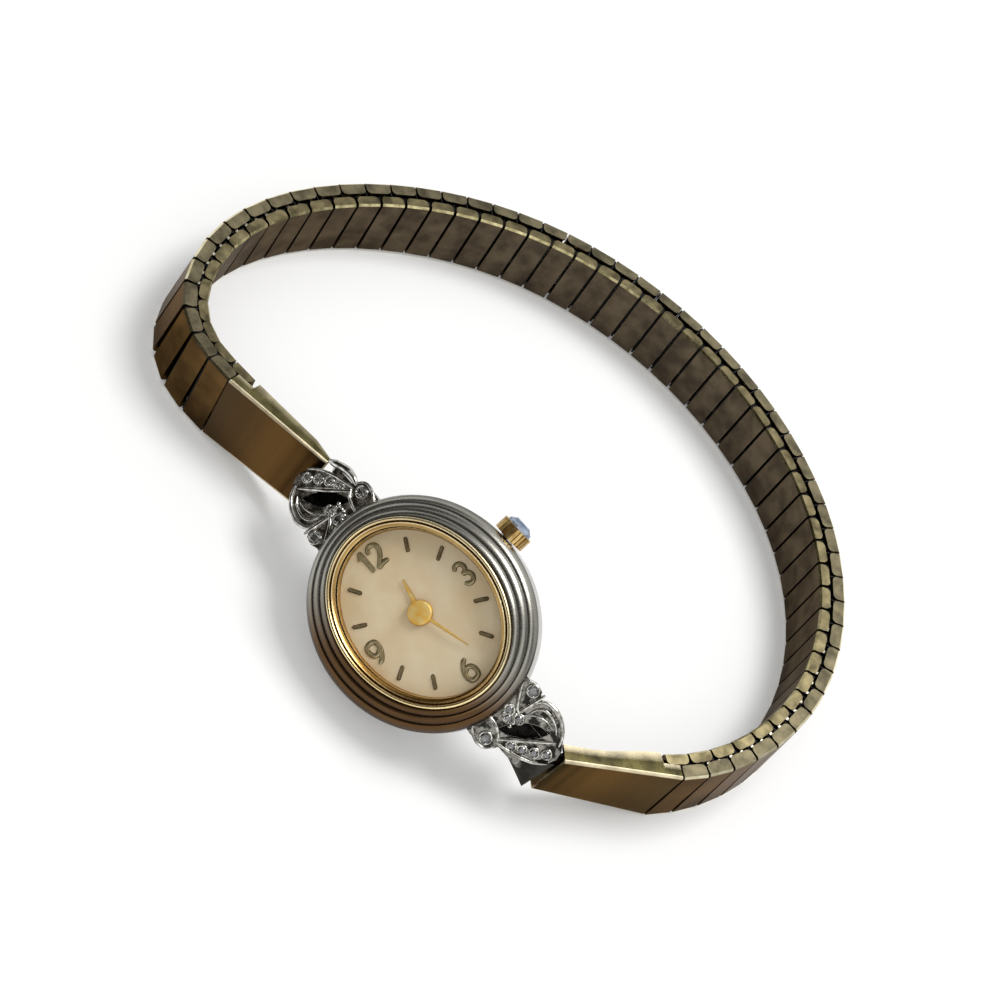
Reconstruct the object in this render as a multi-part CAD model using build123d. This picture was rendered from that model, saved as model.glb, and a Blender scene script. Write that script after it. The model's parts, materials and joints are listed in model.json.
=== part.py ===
from build123d import *
import math
import os

# A lady's oval watch standing on the edge of its expansion band. Millimetres, +Z up.
# The band is a loop of two staggered rows of links, and the head leans back between its
# two end pieces. The head is built lying flat, then placed in one move.

# Band
link_pitch = 2.5
outer_link_gap = 0.14
inner_link_gap = 0.36
band_width = 7.2
outer_link_height = 1.2
inner_link_height = 1.0
inner_link_inset = 0.18
row_gap = 0.20
link_wall = 0.20
link_lip = 0.25
link_chamfer = 0.18
link_corner = 0.45
loop_half_length = 32.0
loop_half_depth = 25.0
left_lift = 0.20
left_lift_run = 7.0
right_lift = 0.08
right_lift_run = 5.0

# Staples that join the rows, and the leaf springs that pull them home
staple_offset = 0.62
staple_width = 0.30
staple_wire = 0.20
staple_leg_height = 0.30
staple_leg_length = 1.15
staple_side_gap = 0.05
leg_gap = 0.20
spring_thickness = 0.06
spring_length = 1.5
spring_margin = 0.62
spring_gap = 0.12

# End pieces
cover_end_width = 5.2
cover_wall = 0.25
cover_depth = 2.05
cover_end_depth = 1.55
cover_notch = 1.65
cover_slot_top = 0.55
left_cover_offset = 0.27, 1.13, -0.43
left_cover_edge = 0.32, 2.20, 4.75
right_cover_offset = -0.68, 1.31, 0.43
right_cover_edge = 0.51, 0.48, 5.10
hook_plate_thickness = 0.28
hook_width = 1.0
hook_bore = 0.62
hook_wall = 0.24
hook_opening = 115.0
hook_tilt = 10.0
tongue_root_width = 2.8
tongue_run = 1.4

# Head: half sizes run along 12-6 (long) and along 3-9 (short)
case_low = -2.3
case_height = 3.3
case_wall = 1.45
case_foot_inset = 1.0
back_thickness = 0.6
back_edge = 0.2
back_plug_height = 0.4
back_plug_wall = 0.6
gasket_width = 0.18
bezel_height = 1.6
bezel_step_rises = 0.40, 0.36, 0.32
bezel_step_inset_shares = 0.20, 0.40, 0.60
dial_thickness = 0.3
dial_recess = 0.3
dial_edge_gap = 0.1
bezel_width_long = 1.7
bezel_width_short = 2.2
rim_wall = 0.3
rim_lip = 0.5
rim_proud = 0.3
ledge_thickness = 0.40
crystal_gasket_height = 0.15
crystal_thickness = 0.75
crystal_edge = 0.12
seat_gap = 0.02
part_gap = 0.05

# Dial marks and hands
marker_margin_long = 2.2
marker_margin_short = 1.91
marker_length = 1.25
marker_width = 0.34
mark_height = 0.12
numeral_height = 1.70
numeral_width = 1.05
numeral_stroke = 0.30
paired_width = 0.78
first_digit_x = -0.55
second_digit_x = 0.45
hour_hand_length = 3.0
minute_hand_length = 4.7
hand_tail = 0.9
hand_thickness = 0.08
hour_hand_width = 0.60
minute_hand_width = 0.32
hand_tip_share = 0.3
hour_boss = 1.05
minute_boss = 0.80
hour_hand_lift = 0.15
minute_hand_lift = 0.33
shown_hour = 12
shown_minutes = 27.5

# Movement
plate_half_long = 7.4
plate_half_short = 6.1
ring_width_long = 1.15
ring_width_short = 1.45
plate_thickness = 0.75
plate_pocket = 0.52
ring_gap = 0.10
train_ratio_teeth = (32, 8), (36, 8), (40, 8)
train_modules = 0.100, 0.085, 0.075
train_turns = -120.0, 200.0, -75.0
motion_distance = 1.92
motion_turn = 35.0
cannon_tooth_count = 12
minute_wheel_tooth_count = 36
minute_pinion_tooth_count = 10
hour_wheel_tooth_count = 40
wheel_thickness = 0.15
pinion_height = 0.26
arbor_radius = 0.12
centre_arbor_radius = 0.20
cannon_radius = 0.30
hour_pipe_wall = 0.22
running_gap = 0.03
bridge_thickness = 0.20
bridge_drop = 1.0
board_thickness = 0.15
battery_margin = 0.4
battery_centre_gap = 1.2
battery_thickness = 1.6
battery_drop = 0.45
clip_width = 1.3
clip_thickness = 0.12
rotor_radius = 0.60
rotor_height = 0.28
stator_thickness = 0.25
stator_margin = 0.8
coil_radius = 0.45
coil_length = 4.4
coil_margin = 1.65
core_width = 0.7
post_radius = 0.42
screw_radius = 0.16
screw_head_radius = 0.36
screw_head_height = 0.2
screw_seats = (-4.6, -0.9), (1.6, -4.2), (3.4, 2.0)

# Crown and stem
crown_radius = 1.45
crown_length = 1.15
crown_gap = 0.12
crown_flutes = 24
crown_flute_depth = 0.14
crown_bore = 0.75
crown_bore_depth = 0.75
crown_travel = 0.8
stone_radius = 1.2
stone_height = 0.60
stone_table_share = 0.58
stone_sides = 12
tube_radius = 0.65
tube_proud = 0.45
stem_radius = 0.35
stem_drop = 0.42
stem_inner_x = 2.3
stem_groove_x = 4.75
stem_groove_width = 0.34
stem_groove_radius = 0.2
setting_pinion_radius = 0.48
setting_pinion_length = 0.45
detent_thickness = 0.2
detent_finger = 0.24
detent_reach = 1.5
detent_plate_length = 1.6
detent_plate_width = 1.1

# Lugs: the plate's outline and the stones follow the lug's reach and half width
lug_overhang = 6.0
lug_half_width = 3.3
lug_seat = 1.4
lug_thickness = 0.75
hollow_depth = 0.5
lug_top = 0.85
lug_droop = 14.0
ear_thickness = 0.6
ear_inner = 2.0
ear_far_inner = -0.5
ear_radius = 0.62
bar_radius = 0.33
bar_beyond_case = 3.9
bar_z = -3.2
upper_hook_shift = 0.4
lower_hook_shift = -1.2
stone_small_radius = 0.36
stone_large_radius = 0.46
stone_depth = 0.35
stone_crown = 0.20

# Where the head lies: its centre, its height over the middle of the band, the way 12 o'clock
# points, and how far the dial leans back
head_centre = 0.82, -20.78
head_above_band = 3.82
head_turn = 166.0
head_slope = -1.0
head_lean = 48.0

# Centre line of the band between the two end pieces, seen from above, as shares of the
# loop's half length and half depth
band_path_shares = (
    (-0.728, -0.529), (-0.774, -0.5155), (-0.839, -0.490), (-0.941, -0.396), (-1.005, -0.225), (-1.018, -0.027),
    (-0.931, 0.316), (-0.760, 0.600), (-0.538, 0.820), (-0.281, 0.960), (-0.003, 1.009),
    (0.275, 0.968), (0.537, 0.836), (0.759, 0.616), (0.912, 0.318), (0.975, -0.032),
    (0.950, -0.290), (0.881, -0.499), (0.8094, -0.625),
    (0.777, -0.6684),
)

# Inward roll of the band's upper edge, in degrees, at shares of its length
band_roll = (0.0, 4.3), (0.06, 4.8), (0.14, 4.8), (0.30, 0.0), (0.62, 0.0), (0.78, 2.0), (0.92, 2.0), (1.0, 0.0)

# Gaps at which one stretch of links can shift or turn against the next, as shares of their count
segment_gap_shares = 0, 0.12, 0.24, 0.42, 0.86, 0.98
cut_overrun = 1.0

# The inner row and its springs lie within the band's width
inner_link_width = band_width - 2 * inner_link_inset
spring_width = inner_link_width - 2 * (link_wall + spring_margin)

# The case is sized round its movement, and the dial, lugs and marks follow the case
case_half_long = plate_half_long + ring_width_long + case_wall
case_half_short = plate_half_short + ring_width_short + case_wall
rim_half_long = case_half_long - bezel_width_long
rim_half_short = case_half_short - bezel_width_short
dial_half_long = rim_half_long - dial_edge_gap
dial_half_short = rim_half_short - dial_edge_gap
marker_ring_long = dial_half_long - marker_margin_long
marker_ring_short = dial_half_short - marker_margin_short
lug_reach = case_half_long + lug_overhang
lug_root = case_half_long - lug_seat
bar_y = case_half_long + bar_beyond_case
battery_radius = (plate_half_long - battery_margin - battery_centre_gap) / 2
battery_y = battery_centre_gap + battery_radius
coil_y = coil_margin - plate_half_long

case_top = case_low + case_height
back_low = case_low - back_thickness
bezel_top = case_top + bezel_height
dial_low = case_top + dial_recess - part_gap - dial_thickness
dial_top = dial_low + dial_thickness
ledge_top = case_top + dial_recess + ledge_thickness
crystal_low = ledge_top + crystal_gasket_height
crystal_top = crystal_low + crystal_thickness
rim_top = bezel_top + rim_proud
open_half_long = rim_half_long - rim_wall - rim_lip
open_half_short = rim_half_short - rim_wall - rim_lip
cavity_half_long = plate_half_long + ring_width_long
cavity_half_short = plate_half_short + ring_width_short
plate_top = dial_low - part_gap
plate_low = plate_top - plate_thickness
stem_z = plate_low - stem_drop
cover_roof = row_gap / 2 + outer_link_height
written = []


def save(name, shape):
    """One node: a solid, or a group of separate solids."""
    shape.label = name
    written.append((name, shape))


def oval(half_long, half_short, low, high):
    """An upright plate of oval outline, long along 12-6."""
    return Pos(0, 0, low) * extrude(Ellipse(half_short, half_long), amount=high - low)


def oval_ring(outer, inner, low, high):
    """A plate of oval outline with an oval hole."""
    return oval(*outer, low, high) - oval(*inner, low - cut_overrun, high + cut_overrun)


def grown(half_long, half_short, amount):
    """Both half sizes of an oval, each larger by one amount."""
    return half_long + amount, half_short + amount


def disc(radius, low, high, place=(0, 0)):
    """An upright cylinder between two heights."""
    return Pos(place[0], place[1], low) * extrude(Circle(radius), amount=high - low)


def block(x_span, y_span, z_span):
    """A box between two values on each axis."""
    size = [span[1] - span[0] for span in (x_span, y_span, z_span)]
    middle = [(span[1] + span[0]) / 2 for span in (x_span, y_span, z_span)]
    return Pos(*middle) * Box(*size)


def along_x(radius, start, end, z=0, y=0):
    """A cylinder along X, towards 3 o'clock."""
    return Pos(start, y, z) * Rot(0, 90, 0) * extrude(Circle(radius), amount=end - start)


def toothed(teeth, module, low, high, place=(0, 0), turn=0):
    """A spur wheel: four points to a tooth, tip to root on straight flanks."""
    pitch_radius = teeth * module / 2
    root, tip = pitch_radius - module * 1.1, pitch_radius + module * 0.8
    step = 2 * math.pi / teeth
    points = []
    for tooth in range(teeth):
        middle = tooth * step + math.radians(turn)
        for radius, share in ((root, -0.22), (tip, -0.11), (tip, 0.11), (root, 0.22)):
            angle = middle + share * step
            points.append((radius * math.cos(angle), radius * math.sin(angle)))
    return Pos(place[0], place[1], low) * extrude(Polygon(*points, align=None), amount=high - low)


def group(solids):
    """Separate solids kept side by side in one node."""
    return Compound(children=[solid for shape in solids for solid in shape.solids()])


# Head frame
def head_frame():
    """The head's place: X to 3 o'clock, Y to 12 o'clock, Z out of the dial."""
    turn, slope, lean = (math.radians(angle) for angle in (head_turn, head_slope, head_lean))
    twelve = Vector(math.cos(slope) * math.cos(turn), math.cos(slope) * math.sin(turn), math.sin(slope))
    upright = (Vector(0, 0, 1) - twelve * twelve.Z).normalized()
    forward = upright.cross(twelve)
    three = upright * math.cos(lean) - forward * math.sin(lean)
    origin = (*head_centre, band_width / 2 + head_above_band)
    return Plane(origin=origin, x_dir=three, z_dir=three.cross(twelve))


head = head_frame()


def in_head(x, y, z):
    """A point of the head, in the watch's own frame."""
    return head.origin + head.x_dir * x + head.y_dir * y + head.z_dir * z


# Case, bezel and glass
def case_shell():
    lower = extrude(Ellipse(case_half_short, case_half_long), amount=case_height)
    foot = lower.faces().sort_by(Axis.Z)[0].edges()
    shell = Pos(0, 0, case_low) * chamfer(foot, case_foot_inset)
    shell -= oval(cavity_half_long, cavity_half_short, case_low - cut_overrun, case_top + cut_overrun)
    return shell - along_x(tube_radius + seat_gap, 0, case_half_short + cut_overrun, stem_z)


def case_cover():
    half = grown(case_half_long, case_half_short, -case_foot_inset)
    plate = extrude(Ellipse(half[1], half[0]), amount=back_thickness)
    plate = Pos(0, 0, back_low) * chamfer(plate.faces().sort_by(Axis.Z)[0].edges(), back_edge)
    plug = grown(cavity_half_long, cavity_half_short, -gasket_width - 2 * seat_gap)
    return plate + oval_ring(plug, grown(*plug, -back_plug_wall), case_low, case_low + back_plug_height)


def back_seal():
    outer = grown(cavity_half_long, cavity_half_short, -seat_gap)
    return oval_ring(outer, grown(*outer, -gasket_width), case_low + part_gap,
                     case_low + back_plug_height)


def stepped_bezel():
    """Terraces that shrink from the case's outline towards the gold rim."""
    reach = case_half_long - rim_half_long, case_half_short - rim_half_short
    shape = None
    low = case_top
    insets = (0,) + bezel_step_inset_shares
    rises = bezel_step_rises + (bezel_height - sum(bezel_step_rises),)
    for inset, rise in zip(insets, rises):
        half = case_half_long - inset * reach[0], case_half_short - inset * reach[1]
        terrace = oval(*half, low, low + rise)
        shape = terrace if shape is None else shape + terrace
        low += rise
    shape -= oval(*grown(dial_half_long, dial_half_short, part_gap), case_top - cut_overrun,
                  case_top + dial_recess)
    shape -= oval(open_half_long, open_half_short, case_top, bezel_top + cut_overrun)
    return shape - oval(*grown(rim_half_long, rim_half_short, seat_gap), ledge_top,
                        bezel_top + cut_overrun)


def gold_rim():
    outer = rim_half_long, rim_half_short
    wall = oval_ring(outer, grown(*outer, -rim_wall), ledge_top, crystal_top)
    lip = oval_ring(outer, (open_half_long, open_half_short), crystal_top, rim_top)
    return wall + lip


def glass():
    half = grown(rim_half_long, rim_half_short, -rim_wall - seat_gap)
    plate = extrude(Ellipse(half[1], half[0]), amount=crystal_thickness)
    return Pos(0, 0, crystal_low) * plate


def glass_seal():
    outer = grown(rim_half_long, rim_half_short, -rim_wall - seat_gap)
    return oval_ring(outer, grown(*outer, -gasket_width), ledge_top, crystal_low)


# Dial, marks and hands
def dial_plate():
    plate = oval(dial_half_long, dial_half_short, dial_low, dial_top)
    return plate - disc(cannon_radius + running_gap + hour_pipe_wall + part_gap,
                        dial_low - cut_overrun, dial_top + cut_overrun)


digit_shares = {
    "1": ((0.20, 0.80), (0.48, 1.0), (0.48, 0.0)),
    "2": ((0.05, 0.76), (0.20, 0.96), (0.55, 1.0), (0.88, 0.84), (0.84, 0.58), (0.02, 0.0), (0.95, 0.0)),
    "3": ((0.05, 0.88), (0.45, 1.0), (0.85, 0.86), (0.80, 0.62), (0.40, 0.53), (0.88, 0.42),
          (0.92, 0.16), (0.50, 0.0), (0.02, 0.12)),
    "6": ((0.82, 0.92), (0.45, 1.0), (0.14, 0.76), (0.04, 0.32), (0.30, 0.02), (0.72, 0.04),
          (0.94, 0.30), (0.70, 0.56), (0.32, 0.56), (0.06, 0.36)),
}


def digit(name, centre_x, width, turned=False):
    """One applied figure: a bar along each stroke, centred on the dial's plane."""
    points = [((x - 0.5) * width, (y - 0.5) * numeral_height) for x, y in digit_shares[name]]
    if turned:
        points = [(-x, -y) for x, y in points]
    figure = None
    for start, end in zip(points, points[1:]):
        run = math.dist(start, end)
        angle = math.degrees(math.atan2(end[1] - start[1], end[0] - start[0]))
        middle = (start[0] + end[0]) / 2 + centre_x, (start[1] + end[1]) / 2
        bar = Pos(*middle) * Rot(0, 0, angle) * SlotOverall(run + numeral_stroke, numeral_stroke)
        figure = bar if figure is None else figure + bar
    return figure


def numerals():
    twelve = digit("1", first_digit_x, paired_width) + digit("2", second_digit_x, paired_width)
    places = (
        (twelve, 0, marker_ring_long),
        (digit("3", 0, numeral_width), marker_ring_short, 0),
        (digit("6", 0, numeral_width), 0, -marker_ring_long),
        (digit("6", 0, numeral_width, turned=True), -marker_ring_short, 0),
    )
    return group([Pos(x, y, dial_top) * extrude(figure, amount=mark_height) for figure, x, y in places])


def hour_markers():
    """Pill-shaped marks at the eight other hours, each pointing to the centre."""
    marks = []
    for hour in (1, 2, 4, 5, 7, 8, 10, 11):
        angle = math.radians(90 - hour * 30)
        radius = marker_ring_long * marker_ring_short / math.hypot(
            marker_ring_short * math.sin(angle), marker_ring_long * math.cos(angle))
        place = Pos(radius * math.cos(angle), radius * math.sin(angle), dial_top)
        pill = extrude(SlotOverall(marker_length, marker_width), amount=mark_height)
        marks.append(place * Rot(0, 0, math.degrees(angle)) * pill)
    return group(marks)


def hand(length, width, boss, bore, lift, clockwise):
    """A slender hand with a short tail and a round boss, turned clockwise from 12."""
    half, tip = width / 2, width * hand_tip_share / 2
    blade = Polygon((-tip, -hand_tail), (tip, -hand_tail), (half, 0), (tip, length), (-tip, length),
                    (-half, 0), align=None)
    outline = blade + Circle(boss) - Circle(bore)
    return Pos(0, 0, dial_top + lift) * Rot(0, 0, -clockwise) * extrude(outline, amount=hand_thickness)


# Wheels
def train_places():
    """Centres of the third wheel, step wheel and rotor, each a mesh away from the last."""
    places = [(0.0, 0.0)]
    for (teeth, pinion), module, turn in zip(train_ratio_teeth, train_modules, train_turns):
        reach = (teeth + pinion) * module / 2
        x, y = places[-1]
        places.append((x + reach * math.cos(math.radians(turn)), y + reach * math.sin(math.radians(turn))))
    return places


def mesh_turn(turn, teeth, own_teeth, own_turn):
    """The turn that puts a pinion's gap opposite a tooth of the wheel at own_turn."""
    phase = (turn - own_turn) / (360 / own_teeth)
    return turn + 180 + (phase + 0.5) * 360 / teeth


def wheel_heights():
    """Underside of each wheel of the train, top down, and the bridge's top."""
    centre_low = plate_low - part_gap - wheel_thickness
    third_low = centre_low - part_gap - wheel_thickness - part_gap
    step_low = third_low - part_gap - wheel_thickness - part_gap
    return centre_low, third_low, step_low, plate_low - bridge_drop


def arbor(place, top):
    """A thin arbor from inside the bridge up into the plate."""
    bridge_top = wheel_heights()[3]
    return disc(arbor_radius, bridge_top - bridge_thickness / 2, top, place)


def centre_wheel():
    centre_low, _, _, bridge_top = wheel_heights()
    wheel = toothed(train_ratio_teeth[0][0], train_modules[0], centre_low, centre_low + wheel_thickness)
    staff = disc(centre_arbor_radius, centre_low, plate_top - plate_pocket + part_gap)
    foot = disc(arbor_radius, bridge_top - bridge_thickness / 2, centre_low)
    pinion = toothed(cannon_tooth_count, motion_modules()[0], plate_top - plate_pocket + part_gap,
                     plate_top - plate_pocket + part_gap + wheel_thickness + part_gap)
    cannon = disc(cannon_radius, plate_top - plate_pocket + part_gap,
                  dial_top + minute_hand_lift + hand_thickness)
    return foot + wheel + staff + pinion + cannon


def motion_modules():
    """Tooth sizes of the two meshes between the cannon pinion and the hour wheel."""
    return (2 * motion_distance / (cannon_tooth_count + minute_wheel_tooth_count),
            2 * motion_distance / (minute_pinion_tooth_count + hour_wheel_tooth_count))


def motion_place():
    angle = math.radians(motion_turn)
    return motion_distance * math.cos(angle), motion_distance * math.sin(angle)


def minute_wheel():
    low = plate_top - plate_pocket + part_gap
    place = motion_place()
    first, second = motion_modules()
    wheel = toothed(minute_wheel_tooth_count, first, low, low + wheel_thickness, place,
                    mesh_turn(motion_turn, minute_wheel_tooth_count, cannon_tooth_count, 0))
    pinion = toothed(minute_pinion_tooth_count, second, low + wheel_thickness, plate_top - part_gap, place)
    return wheel + pinion - disc(arbor_radius + running_gap, low - cut_overrun, plate_top, place)


def hour_wheel():
    low = plate_top - part_gap - wheel_thickness
    bore = cannon_radius + running_gap
    turn = mesh_turn(motion_turn + 180, hour_wheel_tooth_count, minute_pinion_tooth_count, 0)
    wheel = toothed(hour_wheel_tooth_count, motion_modules()[1], low, low + wheel_thickness, turn=turn)
    pipe = disc(bore + hour_pipe_wall, low, dial_top + hour_hand_lift + hand_thickness)
    return wheel + pipe - disc(bore, low - cut_overrun, dial_top + cut_overrun)


def geared(index):
    """Third wheel, step wheel: a wheel below and a pinion that meets the wheel before it."""
    place = train_places()[index]
    heights = wheel_heights()
    teeth, pinion = train_ratio_teeth[index][0], train_ratio_teeth[index - 1][1]
    low = heights[index]
    wheel = toothed(teeth, train_modules[index], low, low + wheel_thickness, place)
    leaf = toothed(pinion, train_modules[index - 1], low, heights[index - 1] + wheel_thickness, place,
                   mesh_turn(train_turns[index - 1], pinion, train_ratio_teeth[index - 1][0], 0))
    return wheel + leaf + arbor(place, plate_low + plate_thickness / 3)


def rotor():
    place = train_places()[3]
    heights = wheel_heights()
    leaf = toothed(train_ratio_teeth[2][1], train_modules[2], heights[2] - part_gap,
                   heights[2] + wheel_thickness + part_gap, place,
                   mesh_turn(train_turns[2], train_ratio_teeth[2][1], train_ratio_teeth[2][0], 0))
    magnet_low = plate_low - part_gap - rotor_height
    magnet = disc(rotor_radius, magnet_low, magnet_low + rotor_height, place)
    return leaf + magnet + arbor(place, plate_low + plate_thickness / 3)


# Movement plates, motor and battery
def main_plate():
    plate = oval(plate_half_long, plate_half_short, plate_low, plate_top)
    pocket_low = plate_top - plate_pocket
    teeth_room = 2 * part_gap
    first, second = motion_modules()
    plate -= disc(hour_wheel_tooth_count * second / 2 + second + teeth_room, pocket_low, plate_top + cut_overrun)
    plate -= disc(minute_wheel_tooth_count * first / 2 + first + teeth_room, pocket_low,
                  plate_top + cut_overrun, motion_place())
    plate += disc(arbor_radius, pocket_low, plate_top - part_gap, motion_place())
    plate -= disc(centre_arbor_radius + running_gap, plate_low - cut_overrun, plate_top)
    for place in train_places()[1:]:
        plate -= disc(arbor_radius + running_gap, plate_low - cut_overrun,
                      plate_low + plate_thickness / 3 + part_gap, place)
    board_low = plate_low - bridge_drop - bridge_thickness
    for seat in screw_seats:
        plate += disc(post_radius, board_low + bridge_thickness, plate_low, seat)
        plate -= disc(screw_radius + seat_gap, board_low - cut_overrun, plate_low + plate_thickness / 3, seat)
    return plate


def train_bridge():
    """One plate under the wheels, seated on the posts and pierced for the arbors."""
    top = plate_low - bridge_drop
    half = grown(plate_half_long, plate_half_short, -ring_gap)
    bridge = oval(*half, top - bridge_thickness, top)
    bridge -= disc(battery_radius + 2 * part_gap, top - cut_overrun, top + cut_overrun, (0, battery_y))
    for place in train_places():
        bridge -= disc(arbor_radius + running_gap, top - cut_overrun, top + cut_overrun, place)
    for seat in screw_seats:
        bridge -= disc(screw_radius + seat_gap, top - cut_overrun, top + cut_overrun, seat)
    return bridge


def circuit_board():
    top = plate_low - bridge_drop - bridge_thickness
    half = grown(plate_half_long, plate_half_short, -2 * ring_gap)
    board = oval(*half, top - board_thickness, top)
    board -= disc(battery_radius + 2 * part_gap, top - cut_overrun, top + cut_overrun, (0, battery_y))
    board -= block((-plate_half_short, plate_half_short), (battery_y, plate_half_long),
                   (top - cut_overrun, top + cut_overrun))
    for seat in screw_seats:
        board -= disc(screw_radius + seat_gap, top - cut_overrun, top + cut_overrun, seat)
    return board


def screws():
    """Three screws through board and bridge into the plate's posts."""
    board_low = plate_low - bridge_drop - bridge_thickness - board_thickness
    pieces = []
    for seat in screw_seats:
        head_part = disc(screw_head_radius, board_low - screw_head_height, board_low, seat)
        shank = disc(screw_radius, board_low, plate_low, seat)
        slot = block((seat[0] - screw_head_radius, seat[0] + screw_head_radius),
                     (seat[1] - part_gap, seat[1] + part_gap),
                     (board_low - 2 * screw_head_height, board_low - screw_head_height / 2))
        pieces.append(head_part + shank - slot)
    return group(pieces)


def battery():
    top = plate_low - battery_drop
    cell = extrude(Circle(battery_radius), amount=battery_thickness)
    cell = chamfer(cell.faces().sort_by(Axis.Z)[0].edges(), 2 * part_gap)
    return Pos(0, battery_y, top - battery_thickness) * cell


def battery_clip():
    """A strip across the battery's face with a foot on the board at each side."""
    face = plate_low - battery_drop - battery_thickness
    board_low = plate_low - bridge_drop - bridge_thickness - board_thickness
    span = battery_radius + 4 * part_gap + clip_thickness
    y_span = battery_y - clip_width / 2 - battery_radius / 2, battery_y + clip_width / 2 - battery_radius / 2
    strip = block((-span, span), y_span, (face - clip_thickness, face))
    for side in (-1, 1):
        inner, outer = sorted((side * (span - clip_thickness), side * span))
        strip += block((inner, outer), y_span, (face - clip_thickness, board_low))
    return strip


def stator():
    """A flat plate round the rotor that reaches back to the coil's core."""
    x, y = train_places()[3]
    low = plate_low - part_gap - stator_thickness
    reach = rotor_radius + stator_margin
    body = block((x - reach, x + coil_length), (coil_y + coil_radius + part_gap, y + reach),
                 (low, low + stator_thickness))
    body -= disc(rotor_radius + 2 * part_gap, low - cut_overrun, low + cut_overrun, (x, y))
    seat_x, seat_y = screw_seats[1]
    return body - disc(post_radius + part_gap, low - cut_overrun, low + cut_overrun, (seat_x, seat_y))


def coil():
    """The winding on its core, along 3-9 at the 6 o'clock side."""
    z = plate_low - part_gap - coil_radius
    winding = along_x(coil_radius, -coil_length / 2, coil_length / 2, z, coil_y)
    ends = coil_length / 2 + core_width
    core = block((-ends, ends), (coil_y - core_width / 2, coil_y + core_width / 2),
                 (z - stator_thickness / 2, z + stator_thickness / 2))
    return winding + core


def movement_ring():
    """Holds the movement in the case, cut away for the stem."""
    outer = grown(cavity_half_long, cavity_half_short, -ring_gap)
    inner = grown(plate_half_long, plate_half_short, ring_gap)
    low = plate_low - bridge_drop - bridge_thickness
    ring = oval_ring(outer, inner, low, plate_top)
    ring -= along_x(tube_radius + part_gap, 0, case_half_short, stem_z)
    return ring


# Crown and keyless work
def crown_tube():
    outer = along_x(tube_radius, cavity_half_short, case_half_short + tube_proud, stem_z)
    return outer - along_x(stem_radius + running_gap, 0, case_half_short + cut_overrun, stem_z)


def crown_start():
    return case_half_short + crown_gap


def crown():
    """A fluted barrel, bored at its inner end to run over the tube."""
    step = 2 * math.pi / crown_flutes
    points = []
    for flute in range(crown_flutes):
        for radius, share in ((crown_radius, -0.30), (crown_radius, 0.30),
                              (crown_radius - crown_flute_depth, 0.42),
                              (crown_radius - crown_flute_depth, 0.58)):
            angle = (flute + share) * step
            points.append((radius * math.cos(angle), radius * math.sin(angle)))
    barrel = extrude(Polygon(*points, align=None), amount=crown_length)
    barrel -= extrude(Circle(crown_bore), amount=crown_bore_depth)
    return Pos(crown_start(), 0, stem_z) * Rot(0, 90, 0) * barrel


def crown_stone():
    """A faceted cap: a sided base that tapers to a flat table."""
    base = RegularPolygon(stone_radius, stone_sides)
    table = RegularPolygon(stone_radius * stone_table_share, stone_sides)
    girdle = extrude(base, amount=stone_height / 3)
    top = loft([Pos(0, 0, stone_height / 3) * base, Pos(0, 0, stone_height) * table], ruled=True)
    return Pos(crown_start() + crown_length, 0, stem_z) * Rot(0, 90, 0) * (girdle + top)


def stem():
    start = crown_start() + crown_bore_depth
    shaft = along_x(stem_radius, stem_inner_x, start, stem_z)
    low, high = stem_groove_x - stem_groove_width / 2, stem_groove_x + stem_groove_width / 2
    groove = along_x(crown_radius, low, high, stem_z) - along_x(stem_groove_radius, low, high, stem_z)
    leaf = toothed(cannon_tooth_count, 2 * setting_pinion_radius / cannon_tooth_count, 0, setting_pinion_length)
    leaf = Pos(stem_inner_x - setting_pinion_length, 0, stem_z) * Rot(0, 90, 0) * leaf
    return shaft - groove + leaf


def detent_slide():
    """A sliding plate whose finger sits in the stem's groove and travels with it."""
    x = stem_groove_x
    finger = block((x - detent_finger / 2, x + detent_finger / 2),
                   (-detent_reach, -stem_groove_radius - running_gap),
                   (stem_z - detent_thickness, stem_z + detent_thickness))
    plate = block((x - detent_plate_length, x + detent_finger / 2),
                  (-detent_reach - detent_plate_width, -detent_reach),
                  (stem_z - detent_thickness, stem_z))
    return finger + plate


# Lugs and their stones, drawn for the 12 o'clock side
lug_outline_shares = (
    (1.00, 0.00), (1.06, 0.14), (1.07, 0.35), (0.88, 0.45), (0.70, 0.49), (0.67, 0.595), (0.575, 0.715),
    (0.41, 0.85), (0.18, 0.96), (-0.05, 1.00), (-0.29, 0.97), (-0.50, 0.89), (-0.73, 0.765),
    (-0.85, 0.61), (-0.76, 0.445), (-0.71, 0.405), (-0.91, 0.35), (-0.955, 0.255), (-0.895, 0.175),
    (-0.94, 0.00),
)
hollow_ends_shares = (-0.39, 0.745), (0.50, 0.32)
hollow_width = 1.3
arm_stone_shares = (0.045, 0.885), (0.24, 0.777), (0.41, 0.67), (0.53, 0.555)
leaf_stone_shares = (-0.045, 0.40), (0.12, 0.31), (-0.045, 0.25)
bead_stone_shares = (0.85, 0.304), (-0.767, 0.274)


def lug_point(share):
    """A point of the lug plate, seen from above the dial, from its share of width and reach."""
    return share[0] * lug_half_width, lug_root + share[1] * (lug_reach - lug_root)


def droop(shape):
    """Tips a lug's plate down from the case towards the bar."""
    return Pos(0, lug_root, lug_top) * Rot(-lug_droop, 0, 0) * Pos(0, -lug_root, -lug_top) * shape


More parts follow.
